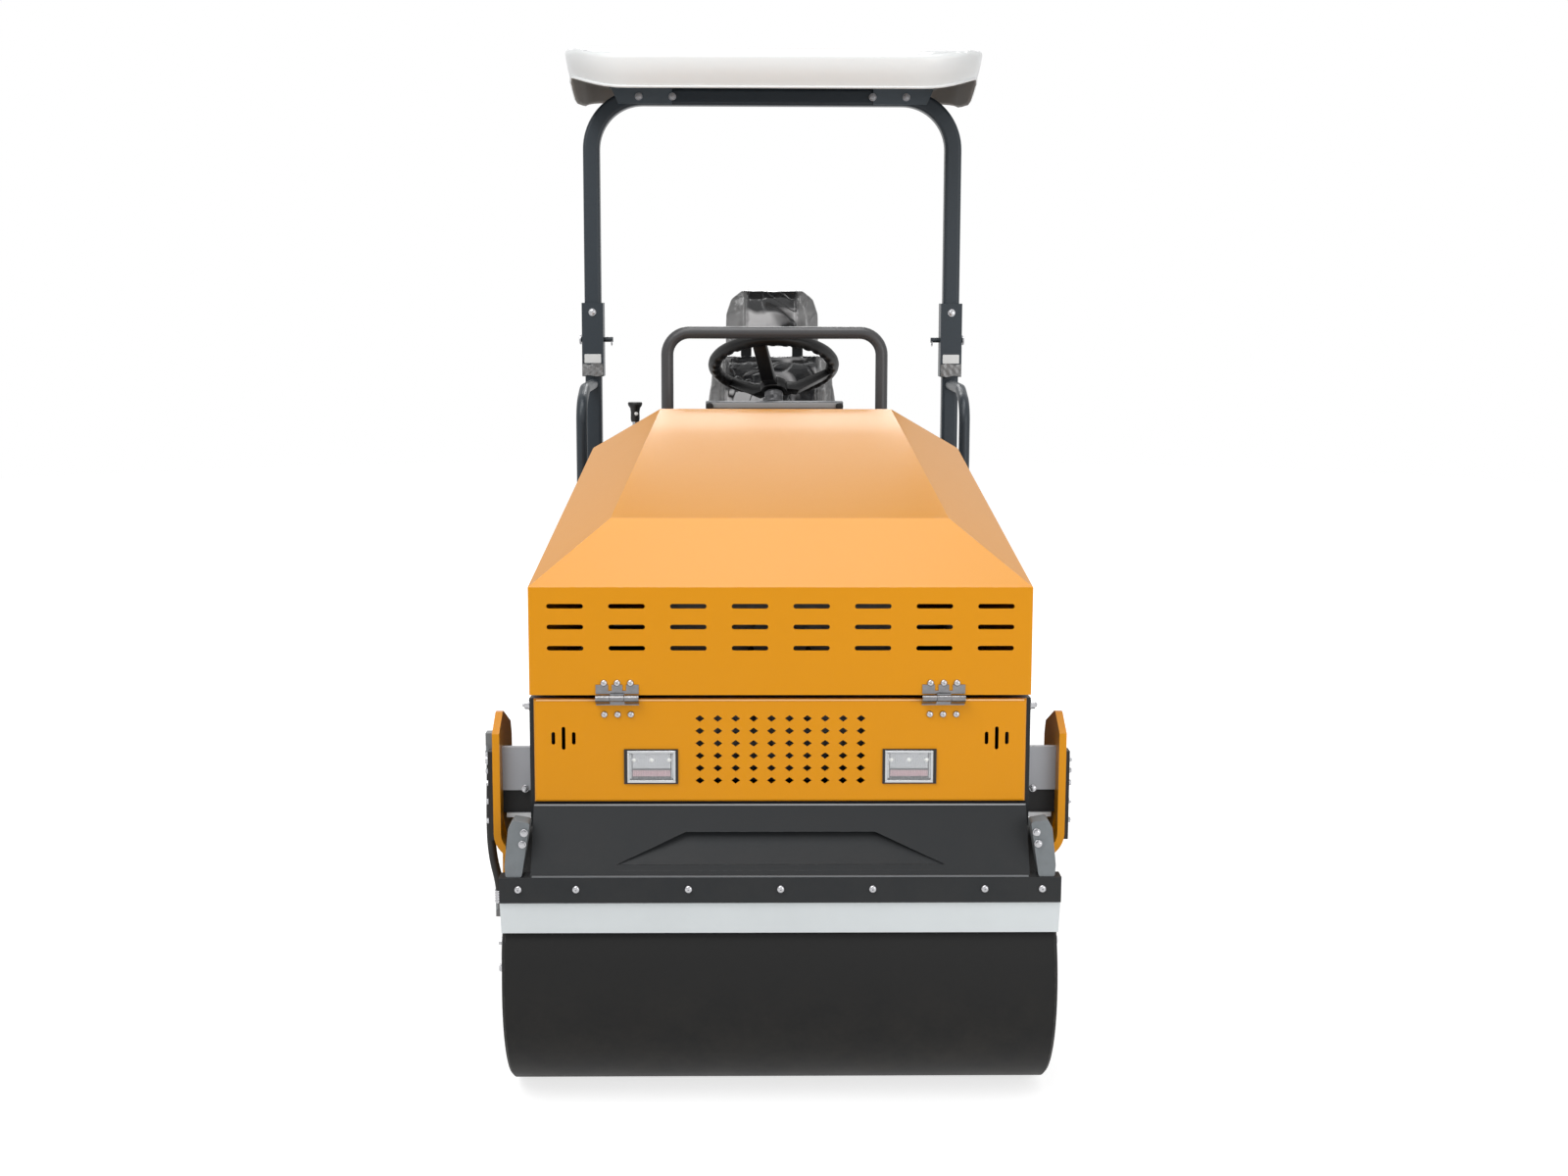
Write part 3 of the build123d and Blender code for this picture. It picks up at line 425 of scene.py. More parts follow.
def makeFloor():
    deselectAll()
    bpy.ops.mesh.primitive_circle_add(vertices=64, radius=daylight["floorRadius"], fill_type="NGON",
                                      location=(0, 0, 0))
    floor = bpy.context.object
    floor.name = "floor"
    paper = bpy.data.materials.new("floorPaper")
    paper.use_nodes = True
    tree = paper.node_tree
    tree.nodes.clear()
    matte = addNode(tree, "ShaderNodeBsdfDiffuse", Color=(*[daylight["floorColour"]] * 3, 1))
    lift = addNode(tree, "ShaderNodeEmission", Strength=times(tree, whitePaths(tree), daylight["floorLift"]))
    both = addNode(tree, "ShaderNodeAddShader", matte.outputs[0], lift.outputs[0])
    addNode(tree, "ShaderNodeOutputMaterial", both.outputs[0])
    floor.data.materials.append(paper)


deselectAll()
bpy.context.scene.view_settings.view_transform = "Standard"
makeCamera()
drumHose = makeHose()
makeLamps()
makeWorld()
makeFloor()
print("camera, hose, light and floor")


# surface effects shared by the materials

# display colour from 0 to 255 as a linear shader colour
def colour(red, green, blue):
    parts = [value / 255 for value in (red, green, blue)]
    return (*[p / 12.92 if p <= 0.04045 else ((p + 0.055) / 1.055) ** 2.4 for p in parts], 1)


def socketKind(value):
    return "NodeSocketColor" if isinstance(value, tuple) or value == "Color" else "NodeSocketFloat"


# a node group with its inputs' usual values, what it puts out, and the function that fills it
def newGroup(name, output, fill, **inputs):
    group = bpy.data.node_groups.new(name, "ShaderNodeTree")
    for label, value in inputs.items():
        socket = group.interface.new_socket(label.replace("_", " "), in_out="INPUT",
                                            socket_type=socketKind(value))
        socket.default_value = value
    group.interface.new_socket(output, in_out="OUTPUT", socket_type=socketKind(output))
    start = group.nodes.new("NodeGroupInput").outputs
    addNode(group, "NodeGroupOutput", fill(group, start))
    return group


# slow change of brightness over a surface
def fillTone(group, start):
    cloud = noise(group, objectPlace(group), start["Scale"], Detail=4.0, Roughness=0.55)
    swing = times(group, maths(group, "SUBTRACT", cloud, 0.5), start["Amount"])
    toned = addNode(group, "ShaderNodeHueSaturation", Value=maths(group, "ADD", swing, 1.0), Color=start["Color"])
    return toned.outputs["Color"]


# fine unevenness of paint, powder coat or cast metal, as a height
def fillGrain(group, start):
    place = objectPlace(group)
    fine = noise(group, place, start["Scale"], Detail=2.0)
    coarse = noise(group, place, start["Coarse Scale"], Detail=3.0)
    return addNode(group, "ShaderNodeMix", start["Coarse Share"], None, fine, coarse, data_type="FLOAT").outputs[0]


# mask of worn edges, where the rounded normal leaves the flat one
def fillEdge(group, start):
    rounded = addNode(group, "ShaderNodeBevel", start["Radius"], samples=4).outputs[0]
    flat = addNode(group, "ShaderNodeNewGeometry").outputs["Normal"]
    match = addNode(group, "ShaderNodeVectorMath", rounded, flat, operation="DOT_PRODUCT").outputs["Value"]
    broken = noise(group, objectPlace(group), start["Breakup"], Detail=5.0)
    mask = times(group, ramp(group, match, 0.985, 0.90), ramp(group, broken, 0.50, 0.62))
    return times(group, mask, start["Amount"])


# mask of thin dust that thins out with height above the ground
def fillDust(group, start):
    place = objectPlace(group)
    height = addNode(group, "ShaderNodeSeparateXYZ", place).outputs["Z"]
    fade = ramp(group, height, 0.0, start["Height"], 1.0, 0.0)
    cloud = noise(group, place, 9.0, Detail=6.0, Roughness=0.7)
    return times(group, times(group, fade, ramp(group, cloud, 0.35, 0.75)), start["Amount"])


slowTone = newGroup("slowTone", "Color", fillTone, Color=(0.5, 0.5, 0.5, 1), Scale=3.0, Amount=0.1)
fineGrain = newGroup("fineGrain", "Height", fillGrain, Scale=300.0, Coarse_Scale=40.0, Coarse_Share=0.3)
wornEdge = newGroup("wornEdge", "Mask", fillEdge, Radius=0.003, Amount=1.0, Breakup=60.0)
lowDust = newGroup("lowDust", "Mask", fillDust, Height=0.6, Amount=0.3)


def useGroup(tree, group, **values):
    return addNode(tree, "ShaderNodeGroup", node_tree=group, **values).outputs[0]


# values of a coated look that are left as they are unless it says otherwise
usual = dict(metallic=0.0, coat=0.0, coatRoughness=0.1, ior=1.45, alpha=1.0, toneScale=3.0, wear=0,
    wearRadius=0.003, under=(150, 150, 150), dust=0, dustHeight=0.7, coarse=50.0, coarseShare=0.3,
    depth=0.0006, roughSpread=0.06, dustColour=(150, 140, 125))


def lookOf(shade, roughness, tone, grain, bump, **own):
    return dict(usual, colour=shade, roughness=roughness, tone=tone, grain=grain, bump=bump, **own)


def newMaterial(name, look):
    mat = bpy.data.materials.new(name)
    mat.use_nodes = True
    shader = mat.node_tree.nodes["Principled BSDF"]
    for label, key in (("Metallic", "metallic"), ("Coat Weight", "coat"), ("Coat Roughness", "coatRoughness"),
                       ("IOR", "ior"), ("Roughness", "roughness"), ("Alpha", "alpha")):
        shader.inputs[label].default_value = look[key]
    return mat, mat.node_tree, shader


def addBump(tree, shader, height, look):
    bump = addNode(tree, "ShaderNodeBump", Height=height, Strength=look["bump"], Distance=look["depth"])
    tree.links.new(bump.outputs[0], shader.inputs["Normal"])


# coated or bare metal, plastic or rubber: slow tone, worn edges, low dust and a fine grain
def coated(name, look):
    mat, tree, shader = newMaterial(name, look)
    last = useGroup(tree, slowTone, Color=colour(*look["colour"]), Scale=look["toneScale"], Amount=look["tone"])
    if look["wear"]:
        worn = useGroup(tree, wornEdge, Radius=look["wearRadius"], Amount=look["wear"])
        last = mixColour(tree, worn, last, colour(*look["under"]))
    if look["dust"]:
        dusty = useGroup(tree, lowDust, Height=look["dustHeight"], Amount=look["dust"])
        last = mixColour(tree, dusty, last, colour(*look["dustColour"]))
    tree.links.new(last, shader.inputs["Base Color"])
    grain = useGroup(tree, fineGrain, Scale=look["grain"], Coarse_Scale=look["coarse"],
                     Coarse_Share=look["coarseShare"])
    addBump(tree, shader, grain, look)
    rough, spread = look["roughness"], look["roughSpread"]
    uneven = ramp(tree, grain, 0.0, 1.0, rough - spread, rough + spread)
    tree.links.new(uneven, shader.inputs["Roughness"])
    return mat


# colour, roughness, tone, grain and bump, then what differs from the usual values
looks = dict(
    orangePaint=lookOf((226, 149, 4), 0.34, 0.05, 900, 0.04, coat=0.16, coatRoughness=0.08, ior=1.26,
        coarse=60, wear=0.25, wearRadius=0.0015, under=(245, 190, 110), dust=0.04),
    charcoalCoat=lookOf((42, 44, 46), 0.5, 0.1, 700, 0.14, ior=1.28, wear=0.3, wearRadius=0.002,
        under=(98, 100, 103), dust=0.1),
    slateCoat=lookOf((49, 57, 64), 0.38, 0.08, 800, 0.12, ior=1.38, wear=0.25, under=(100, 108, 116)),
    drumCoat=lookOf((42, 42, 42), 0.5, 0.1, 260, 0.08, ior=1.18, toneScale=2, coarse=14, coarseShare=0.6,
        wear=0.45, under=(115, 113, 110), dust=0.08, dustHeight=0.35),
    scraperSheet=lookOf((232, 238, 240), 0.42, 0.1, 160, 0.08, toneScale=6),
    zincPlate=lookOf((176, 176, 179), 0.26, 0.3, 500, 0.12, metallic=1, toneScale=40),
    # zinc made darker than the other zinc as painted shade, where the hinges sit in the gap under the hood
    hingeZincShaded=lookOf((128, 128, 130), 0.3, 0.55, 260, 0.45, metallic=1, toneScale=90, coarse=120,
        depth=0.001),
    brightEdge=lookOf((240, 242, 244), 0.34, 0.05, 500, 0.05),
    # a pale grey: painted highlight along the sloping plate's flange top, and the grey of the console strip
    stripGreyAndHighlight=lookOf((150, 152, 154), 0.4, 0.12, 500, 0.06, toneScale=9),
    # a mid grey: painted highlight along the top of the bar
    barHighlightGrey=lookOf((112, 115, 118), 0.45, 0.12, 500, 0.06, toneScale=9),
    collarGrey=lookOf((92, 92, 94), 0.36, 0.2, 400, 0.1, metallic=0.4, toneScale=30),
    # a paler orange: painted highlight on the panel's folded top edge, where it catches the light
    foldHighlightPaint=lookOf((250, 196, 128), 0.3, 0.05, 900, 0.04, coat=0.25),
    railCoat=lookOf((66, 66, 68), 0.36, 0.12, 700, 0.14, ior=1.42, toneScale=6),
    barSlate=lookOf((84, 94, 102), 0.42, 0.08, 700, 0.12, ior=1.4),
    wheelBlack=lookOf((13, 13, 14), 0.42, 0.12, 420, 0.3, ior=1.4),
    whiteMoulding=lookOf((244, 246, 246), 0.32, 0.04, 90, 0.06, coat=0.2, coarse=12),
    # grey for the roof's inner faces, darker than its white outside
    roofInnerGrey=lookOf((146, 142, 138), 0.72, 0.14, 300, 0.3, toneScale=8, coarse=45, coarseShare=0.5),
    blackRubber=lookOf((24, 24, 25), 0.6, 0.15, 350, 0.22, dust=0.12),
    greyPanel=lookOf((84, 87, 91), 0.45, 0.08, 700, 0.14, wear=0.3),
    bracketSteel=lookOf((170, 172, 177), 0.42, 0.12, 420, 0.14, metallic=0.3, toneScale=9, wear=0.3,
        under=(190, 190, 192)),
    hardChrome=lookOf((215, 216, 220), 0.12, 0.05, 900, 0.03, metallic=1),
    castIron=lookOf((116, 121, 124), 0.46, 0.55, 220, 0.45, metallic=0.35, toneScale=22, coarse=60,
        depth=0.0012, wear=0.35, under=(165, 168, 168)),
    lampBlack=lookOf((24, 24, 25), 0.42, 0.1, 500, 0.12),
    blackPlastic=lookOf((20, 20, 21), 0.46, 0.12, 520, 0.2),
    plainLabel=lookOf((232, 233, 232), 0.5, 0.03, 200, 0.05),
    lampSilver=lookOf((188, 190, 192), 0.26, 0.1, 900, 0.05, metallic=0.8, toneScale=40),
    lampRose=lookOf((196, 160, 166), 0.3, 0.12, 900, 0.05, metallic=0.4, toneScale=60),
    ledWhite=lookOf((250, 250, 246), 0.18, 0.02, 900, 0.02, coat=0.5),
    engineAlloy=lookOf((132, 134, 136), 0.44, 0.18, 300, 0.35, metallic=0.7, toneScale=12, coarse=70,
        depth=0.001),
    dialFace=lookOf((16, 17, 18), 0.55, 0.04, 400, 0.04),
    dialMark=lookOf((228, 228, 222), 0.5, 0.02, 400, 0.03),
    signalRed=lookOf((168, 34, 28), 0.34, 0.05, 400, 0.05))
surfaces = {name: coated(name, look) for name, look in looks.items()}

# the film colour is painted reflection, the white that the crinkled clear film mirrors, laid where its folds ridge
filmLook = dict(usual, vinyl=(30, 31, 33), film=(206, 205, 206), side=(116, 116, 116), patchScale=6.0,
    foldScale=8.0, twist=0.9, roughness=0.24, coat=0.5, coatRoughness=0.05, bump=0.45, depth=0.02,
    glintPatches=(0.42, 0.52), fold=(0.004, 0.045), sideEdge=0.006, wander=0.09, glintShare=0.93, sideShare=0.9,
    foldHeight=0.25)
filmed = dict(
    filmedVinyl=dict(sideX=0.160, bandZ=9.0),
    headrestFilm=dict(sideX=0.080, bandZ=1.742),
    backFilm=dict(sideX=0.146, bandZ=1.590))


# black vinyl under a loose clear film, with painted reflection: white glints along its crinkles in patches; greyer
# on the bolsters, clear along the top
def filmedVinyl(name, area):
    mat, tree, shader = newMaterial(name, filmLook)
    place, twist, edge = objectPlace(tree), filmLook["twist"], filmLook["sideEdge"]
    patch = noise(tree, place, filmLook["patchScale"], Detail=2.5, Roughness=0.5, Distortion=twist)
    apart = addNode(tree, "ShaderNodeSeparateXYZ", place).outputs
    wander = times(tree, maths(tree, "SUBTRACT", patch, 0.5), filmLook["wander"])
    bolster = ramp(tree, maths(tree, "ABSOLUTE", apart["X"]), area["sideX"] - edge, area["sideX"] + edge)
    band = ramp(tree, maths(tree, "ADD", apart["Z"], wander), area["bandZ"] - 0.010, area["bandZ"] + 0.006, 1.0, 0.0)
    glintPatches = ramp(tree, patch, *filmLook["glintPatches"])
    folds = noise(tree, place, filmLook["foldScale"], Detail=2.0, Roughness=0.4, Distortion=twist * 1.4)
    crease = maths(tree, "ABSOLUTE", maths(tree, "SUBTRACT", folds, 0.5))
    ridge = ramp(tree, crease, *filmLook["fold"], interpolation_type="SMOOTHSTEP")
    # painted reflection: white glints where the crinkles ridge, in patches, none along the top
    glint = times(tree, times(tree, glintPatches, ridge), band)
    last = useGroup(tree, slowTone, Color=colour(*filmLook["vinyl"]), Scale=14.0, Amount=0.5)
    last = mixColour(tree, times(tree, glint, filmLook["glintShare"]), last, colour(*filmLook["film"]))
    side = useGroup(tree, slowTone, Color=colour(*filmLook["side"]), Scale=20.0, Amount=0.7)
    last = mixColour(tree, times(tree, bolster, filmLook["sideShare"]), last, side)
    tree.links.new(last, shader.inputs["Base Color"])
    height = maths(tree, "ADD", times(tree, ridge, filmLook["foldHeight"]), maths(tree, "ADD", patch, folds))
    addBump(tree, shader, height, filmLook)
    return mat


for name, area in filmed.items():
    surfaces[name] = filmedVinyl(name, area)
clearLook = dict(usual, alpha=0.14, roughness=0.06, ior=1.5)
surfaces["clearCover"], _, clearShader = newMaterial("clearCover", clearLook)
clearShader.inputs["Base Color"].default_value = (0.9, 0.92, 0.95, 1)

slotLooks = dict(paint_orange="orangePaint", frame_charcoal="charcoalCoat", bar_slate="slateCoat",
    drum_steel="drumCoat", blade_steel="scraperSheet", zinc="zincPlate", canopy_white="whiteMoulding",
    vinyl_black="filmedVinyl", rubber_black="blackRubber", console_grey="greyPanel",
    cylinder_chrome="hardChrome", cast_iron="castIron", lamp_black="lampBlack", plastic_black="blackPlastic")
nodeLooks = dict(front_mounts="bracketSteel", rear_mounts="bracketSteel", engine_block="engineAlloy",
    grab_rail="railCoat", cross_member="barSlate", hinge_upper="hingeZincShaded", hinge_lower="hingeZincShaded",
    hose_fittings="castIron")
for part in frame["record"]["subparts"]:
    data = cadNodes[part["node"]].data
    data.materials.clear()
    data.materials.append(surfaces[nodeLooks.get(part["node"], slotLooks[part["material_slot"]])])


# name, finish and body of a new piece, made from one part or a list of them
def finish(parts, name, look, body, smoothAngle=35, replaced=()):
    piece = settle(joinPieces(parts) if isinstance(parts, list) else parts)
    piece.name = piece.data.name = name
    if not piece.data.materials:
        piece.data.materials.append(surfaces[look])
    activate(piece)
    bpy.ops.object.shade_smooth_by_angle(angle=math.radians(smoothAngle))
    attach(piece, body)
    if replaced:
        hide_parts(*replaced)
    return piece


print("materials")


# bolts and screws, each modelled once and copied

bolts = dict(
    hex=dict(across=0.016, head=0.0065, washer=0.024, thick=0.002),
    bigHex=dict(across=0.022, head=0.009, washer=0.034, thick=0.003),
    smallHex=dict(across=0.011, head=0.005, washer=0.017, thick=0.0015),
    stud=dict(across=0.018, head=0.009, washer=0.026, thick=0.003, tip=0.006),
    button=dict(across=0.017, head=0.0065, socket=0.0035),
    screw=dict(across=0.0150, head=0.0062, socket=0.0032))


# a disc standing on z = 0 with its upper edge rounded
def roundedDisc(count, radius, thick, rounding, segments):
    disc = addCylinder(count, radius, thick, thick / 2)
    return bevelWhere(disc, lambda edge: all(point.co.z > thick * 0.9 for point in edge.verts),
                      thick * rounding, segments)


def hexBolt(size):
    across, head, thick = size["across"], size["head"], size["thick"]
    ring = roundedDisc(24, size["washer"] / 2, thick, 0.35, 1)
    hexagon = addCylinder(6, across / math.sqrt(3), head, thick + head / 2)
    pieces = [ring, insetTop(hexagon, across * 0.09, across * 0.05)]
    if "tip" in size:
        middle = thick + head - 0.001 + size["tip"] / 2
        pieces.append(bevelSharp(addCylinder(16, across * 0.29, size["tip"], middle), 0.0008, 1))
    return joinPieces(pieces)


def roundScrew(size):
    head = roundedDisc(20, size["across"] / 2, size["head"], 0.72, 4)
    editPart(head, "FACE", lambda face: face.normal.z > 0.99)
    bpy.ops.mesh.inset(thickness=size["across"] * 0.10)
    extrudeBy((0, 0, -size["socket"]))
    leaveEdit()
    return head


boltShapes = {kind: (roundScrew if "socket" in size else hexBolt)(size) for kind, size in bolts.items()}


# a row of bolts, each turned a little further than the one before
def boltRow(kind, places, direction):
    return [copyOf(boltShapes[kind], facing(direction, place, 0.37 * index)) for index, place in enumerate(places)]


def placeBolts(name, kind, places, direction, body, look="zincPlate"):
    finish(boltRow(kind, places, direction), name, look, body)


# the same row on both sides, each facing outwards
def sideBolts(name, kind, x, places, body):
    rows = [boltRow(kind, [(side * x, y, z) for y, z in places], (side, 0, 0)) for side in sides]
    finish(rows[0] + rows[1], name, "zincPlate", body)


ends = (("front", -1, front), ("rear", 1, rear))
boltPlaces = dict(strip=(-0.559, -0.436, -0.1965, 0.0, 0.1965, 0.436, 0.559),
    casting=((0.545, 1.138, 0.653), (0.549, 1.138, 0.628)), armStrip=(0.748, 0.722, 0.694, 0.651, 0.607),
    frameEdge=dict(front=0.906, rear=0.790), cross=(-0.414, -0.310, 0.310, 0.414),
    hinge=[side * 0.350 + step * 0.0285 for side in sides for step in (-1, 0, 1)])
hubCircle = dict(radius=0.064, count=6, y=0.840, z=0.290, x=0.6295)


def makeBolts():
    for end, way, body in ends:
        out = (0, way, 0)
        placeBolts(end + "StripBolts", "button", [(x, way * 1.140, 0.530) for x in boltPlaces["strip"]], out, body)
        castings = [(side * x, way * y, z) for side in sides for x, y, z in boltPlaces["casting"]]
        placeBolts(end + "ScraperArmBolts", "smallHex", castings, out, body)
        placeBolts(end + "MountBolts", "smallHex", [(side * 0.5660, way * 0.950, 0.6950) for side in sides],
                   out, body)
        sideBolts(end + "FrameEdgeBolts", "stud", 0.541, [(way * 1.030, boltPlaces["frameEdge"][end])], body)
        sideBolts(end + "ArmStripBolts", "smallHex", 0.654, [(way * 0.900, z) for z in boltPlaces["armStrip"]], body)
        count, radius = hubCircle["count"], hubCircle["radius"]
        angles = [2 * math.pi * (step + 0.5) / count for step in range(count)]
        ring = [(way * hubCircle["y"] + radius * math.cos(angle), hubCircle["z"] + radius * math.sin(angle))
                for angle in angles]
        sideBolts(end + "HubBolts", "hex", hubCircle["x"], ring, body)
    fore = (0, -1, 0)
    placeBolts("roofCrossBolts", "hex", [(x, 0.7685, 2.394) for x in boltPlaces["cross"]], fore, "roll_hoop",
               "bracketSteel")
    placeBolts("socketBolts", "hex", [(side * 0.564, 0.7665, 1.731) for side in sides], fore, rear)
    placeBolts("hingeScrewsHood", "screw", [(x, -1.070, 0.9625) for x in boltPlaces["hinge"]], fore, "hood")
    placeBolts("hingeScrewsPanel", "screw", [(x, -1.062, 0.892) for x in boltPlaces["hinge"]], fore, front)


makeBolts()
print("bolts")


# plugs on the drums' end plates, and the weld round each plate
drumEnd = dict(plate=0.475, weld=0.2715, bead=0.0045, ripple=0.0012, plugRadius=0.195, z=0.290, y=0.840,
    plugs=(80, 260))


def makeDrumEnds():
    for end, way, _ in ends:
        beads, plugs = [], []
        for side in sides:
            x, y, z = side * drumEnd["plate"], way * drumEnd["y"], drumEnd["z"]
            bead = addRing(drumEnd["weld"], drumEnd["bead"], 144, 6)
            for index, point in enumerate(bead.data.vertices):
                point.co.z += drumEnd["ripple"] * math.sin(index * 2.4)
            beads.append(placeMesh(bead, facing((side, 0, 0), (x, y, z))))
            for angle in map(math.radians, drumEnd["plugs"]):
                plug = (x, y + drumEnd["plugRadius"] * math.cos(angle), z + drumEnd["plugRadius"] * math.sin(angle))
                plugs.append(copyOf(boltShapes["bigHex"], facing((side, 0, 0), plug)))
        finish(beads, end + "DrumWelds", "drumCoat", end + "_drum", 60)
        finish(plugs, end + "DrumPlugs", "zincPlate", end + "_drum")


makeDrumEnds()
print("drum ends")


# hose finish and its crimped ends, with the sleeve's outline in millimetres

crimp = dict(bore=10.2, radius=12.8, length=30, groove=1.2, edge=1, grooves=4, pitch=6)


def finishHose():
    bore, radius, length, edge = (crimp[key] for key in ("bore", "radius", "length", "edge"))
    waist = radius - crimp["groove"]
    outline = [(bore, 0), (radius - edge, 0), (radius, edge)]
    for step in range(crimp["grooves"]):
        height = 5 + step * crimp["pitch"]
        outline += [(radius, height), (waist, height + 1.2), (waist, height + 2.8), (radius, height + 4)]
    outline += [(radius, length - edge), (radius - edge, length), (bore, length)]
    upper, lower = facing((0, 0, -1), hose["route"][0]), facing((0, 0, 1), hose["route"][-1])
    sleeves = finish(copiesOf(turned(outline, 24), (upper, lower)), "hoseCrimps", "zincPlate", front)
    drumHose.data.materials.append(surfaces["blackRubber"])
    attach(drumHose, "front_frame")
    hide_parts("drum_hose")


finishHose()
print("hose")


# work lamps: ribbed reflector, light points, side bars and a clear cover

workLamp = dict(x=0.278, z=0.777, wide=0.104, high=0.062, back=-1.0612, front=-1.0656, ribs=22,
    ribRadius=0.0019, ribRow=0.082, ledZ=0.791, ledStep=0.038, teeth=12, bezel=((0.0520, 0.0355), 0.0055),
    bezelY=(-1.0672, -1.0658))


def ribRow(x, z, high):
    radius, count, wide = workLamp["ribRadius"], workLamp["ribs"], workLamp["ribRow"]
    rib = addCylinder(8, radius, high)
    bevelWhere(rib, lambda edge: abs(edge.verts[0].co.z - edge.verts[1].co.z) < 1e-6, radius * 0.4, 1)
    step = wide / count
    return copiesOf(rib, [moveTo(x - wide / 2 + step * (index + 0.5), workLamp["back"], z)
                          for index in range(count)])


def makeLamp(side, label):
    x, z = side * workLamp["x"], workLamp["z"]
    wide, high, back = (workLamp[key] for key in ("wide", "high", "back"))
    top, low = z + high / 2, z - high / 2

    def lampPiece(parts, name, look):
        finish(parts, label + "Lamp" + name, look, front)

    lampPiece(ribRow(x, (top + z - 0.008) / 2 + 0.001, top - z + 0.004), "Reflector", "lampSilver")
    lampPiece(ribRow(x, z - 0.0155, 0.014), "LowerRibs", "lampRose")
    middles = [x + way * (wide / 2 - 0.005) for way in sides]
    lampPiece([addBlock((middle - 0.0042, back - 0.0022, low + 0.004),
                        (middle + 0.0042, back + 0.0005, top - 0.003), 0.0012, 2) for middle in middles],
              "SideBars", "lampSilver")
    (outX, outZ), rim = workLamp["bezel"]
    near, far = workLamp["bezelY"]
    strips = (((-outX, outZ - rim), (outX, outZ)), ((outX - rim, rim - outZ), (outX, outZ - rim)),
              ((-outX, rim - outZ), (rim - outX, outZ - rim)), ((-outX, -outZ), (outX, rim - outZ)))
    lampPiece([addBlock((x + lowX, near, z + lowZ), (x + highX, far, z + highZ), 0.0005)
               for (lowX, lowZ), (highX, highZ) in strips], "Bezel", "lampSilver")
    step = (wide - 0.024) / workLamp["teeth"]
    lefts = [x - wide / 2 + 0.012 + index * step for index in range(workLamp["teeth"])]
    lampPiece([addBlock((left + 0.001, back - 0.0030, low + 0.0005),
                        (left + step - 0.0015, back + 0.0003, low + 0.0075), 0.0008) for left in lefts],
              "LowerTeeth", "lampBlack")
    led = turned([(0, 4.2), (2.6, 3.7), (4.3, 2.2), (5, 0), (0, 0)], 16)
    lampPiece(copiesOf(led, [forward(x + step * workLamp["ledStep"], back + 0.0002, workLamp["ledZ"])
                             for step in (-1, 0, 1)]), "Leds", "ledWhite")
    cover = roundPlate(wide - 0.001, high - 0.001, 0.0012, 0.003, 0.0003)
    lampPiece(placeMesh(cover, forward(x, workLamp["front"] + 0.0012, z)), "Cover", "clearCover")


makeLamp(-1, "right")
makeLamp(1, "left")
print("lamps")


# seat pads: pressed full like a cushion, then seams

pads = dict(
    seatCushion=dict(node="seat_cushion", voxel=0.0065, start=(0.95, 0.94, 0.72), cap=0.024,
        proud=(0.004, 0.006, 0.012), groove=0.150, depth=0.007, upright=False, film="filmedVinyl",
        loose=(0.2, 0.2, 1.0)),
    seatBack=dict(node="seat_back", voxel=0.006, start=(0.99, 0.66, 0.96), cap=0.016,
        proud=(0.004, 0.010, 0.004), groove=0.148, depth=0.008, upright=True, film="backFilm",
        loose=(0.15, 1.0, 0.15)),
    headrestPad=dict(node="headrest", voxel=0.005, start=(0.97, 0.68, 0.95), cap=0.014,
        proud=(0.003, 0.009, 0.003), groove=0.080, depth=0.006, upright=True, film="headrestFilm",
        loose=(0.15, 1.0, 0.15)))
padShape = dict(pressure=4.0, frames=20, grooveWidth=0.006, rest=0.0002)


def copyNode(name):
    twin = linked(name + "Copy", cadNodes[name].data.copy())
    twin.data.materials.clear()
    return closeShell(twin)


# fills a pad out; its sewn edge and its pan keep the outline, so it moves little in some directions
def inflate(pad, cap, loose):
    before = [point.co.copy() for point in pad.data.vertices]
    activate(pad)
    cloth = pad.modifiers.new("Cloth", "CLOTH")
    cloth.settings.use_pressure = True
    cloth.settings.uniform_pressure_force = padShape["pressure"]
    cloth.settings.effector_weights.gravity = 0.0
    for number in range(padShape["frames"]):
        bpy.context.scene.frame_set(number + 1)
    bpy.ops.object.modifier_apply(modifier=cloth.name)
    for point, start in zip(pad.data.vertices, before):
        step = Vector(part * free for part, free in zip(point.co - start, loose))
        point.co = start + step * min(1.0, cap / max(step.length, 1e-6))
    bpy.context.scene.frame_set(1)


def makePad(look):
    low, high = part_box(look["node"])
    middle, proud, rest = (low + high) / 2, Vector(look["proud"]), padShape["rest"]
    pad = copyNode(look["node"])
    placeMesh(pad, moveTo(*middle) @ Matrix.Diagonal((*look["start"], 1)) @ moveTo(*-middle))
    useModifier(pad, "REMESH", mode="VOXEL", voxel_size=look["voxel"])
    useModifier(pad, "SMOOTH", factor=0.5, iterations=6)
    inflate(pad, look["cap"], look["loose"])
    useModifier(pad, "SMOOTH", factor=0.5, iterations=6)
    useModifier(pad, "SUBSURF", levels=1, render_levels=1)
    for point in pad.data.vertices:
        place = point.co
        pull = look["depth"] * math.exp(-((abs(place.x) - look["groove"]) / padShape["grooveWidth"]) ** 2)
        if look["upright"]:
            place.y += pull if place.y < middle.y else 0.0
        else:
            place.z -= pull if place.z > middle.z else 0.0
        for axis in range(3):
            place[axis] = min(max(place[axis], low[axis] - proud[axis]), high[axis] + proud[axis])
        if look["upright"]:
            place.y = min(place.y, high.y + rest)   # the back lies against the seat frame
        else:
            place.z = max(place.z, low.z + rest)
    pad.data.update()
    return pad


def makeSeat():
    for name, look in pads.items():
        pad = finish(makePad(look), name, look["film"], rear, 60, (look["node"],))
        print(name, len(pad.data.polygons))


makeSeat()
print("seat")


# steering wheel, boot and column cap, with their outlines in millimetres

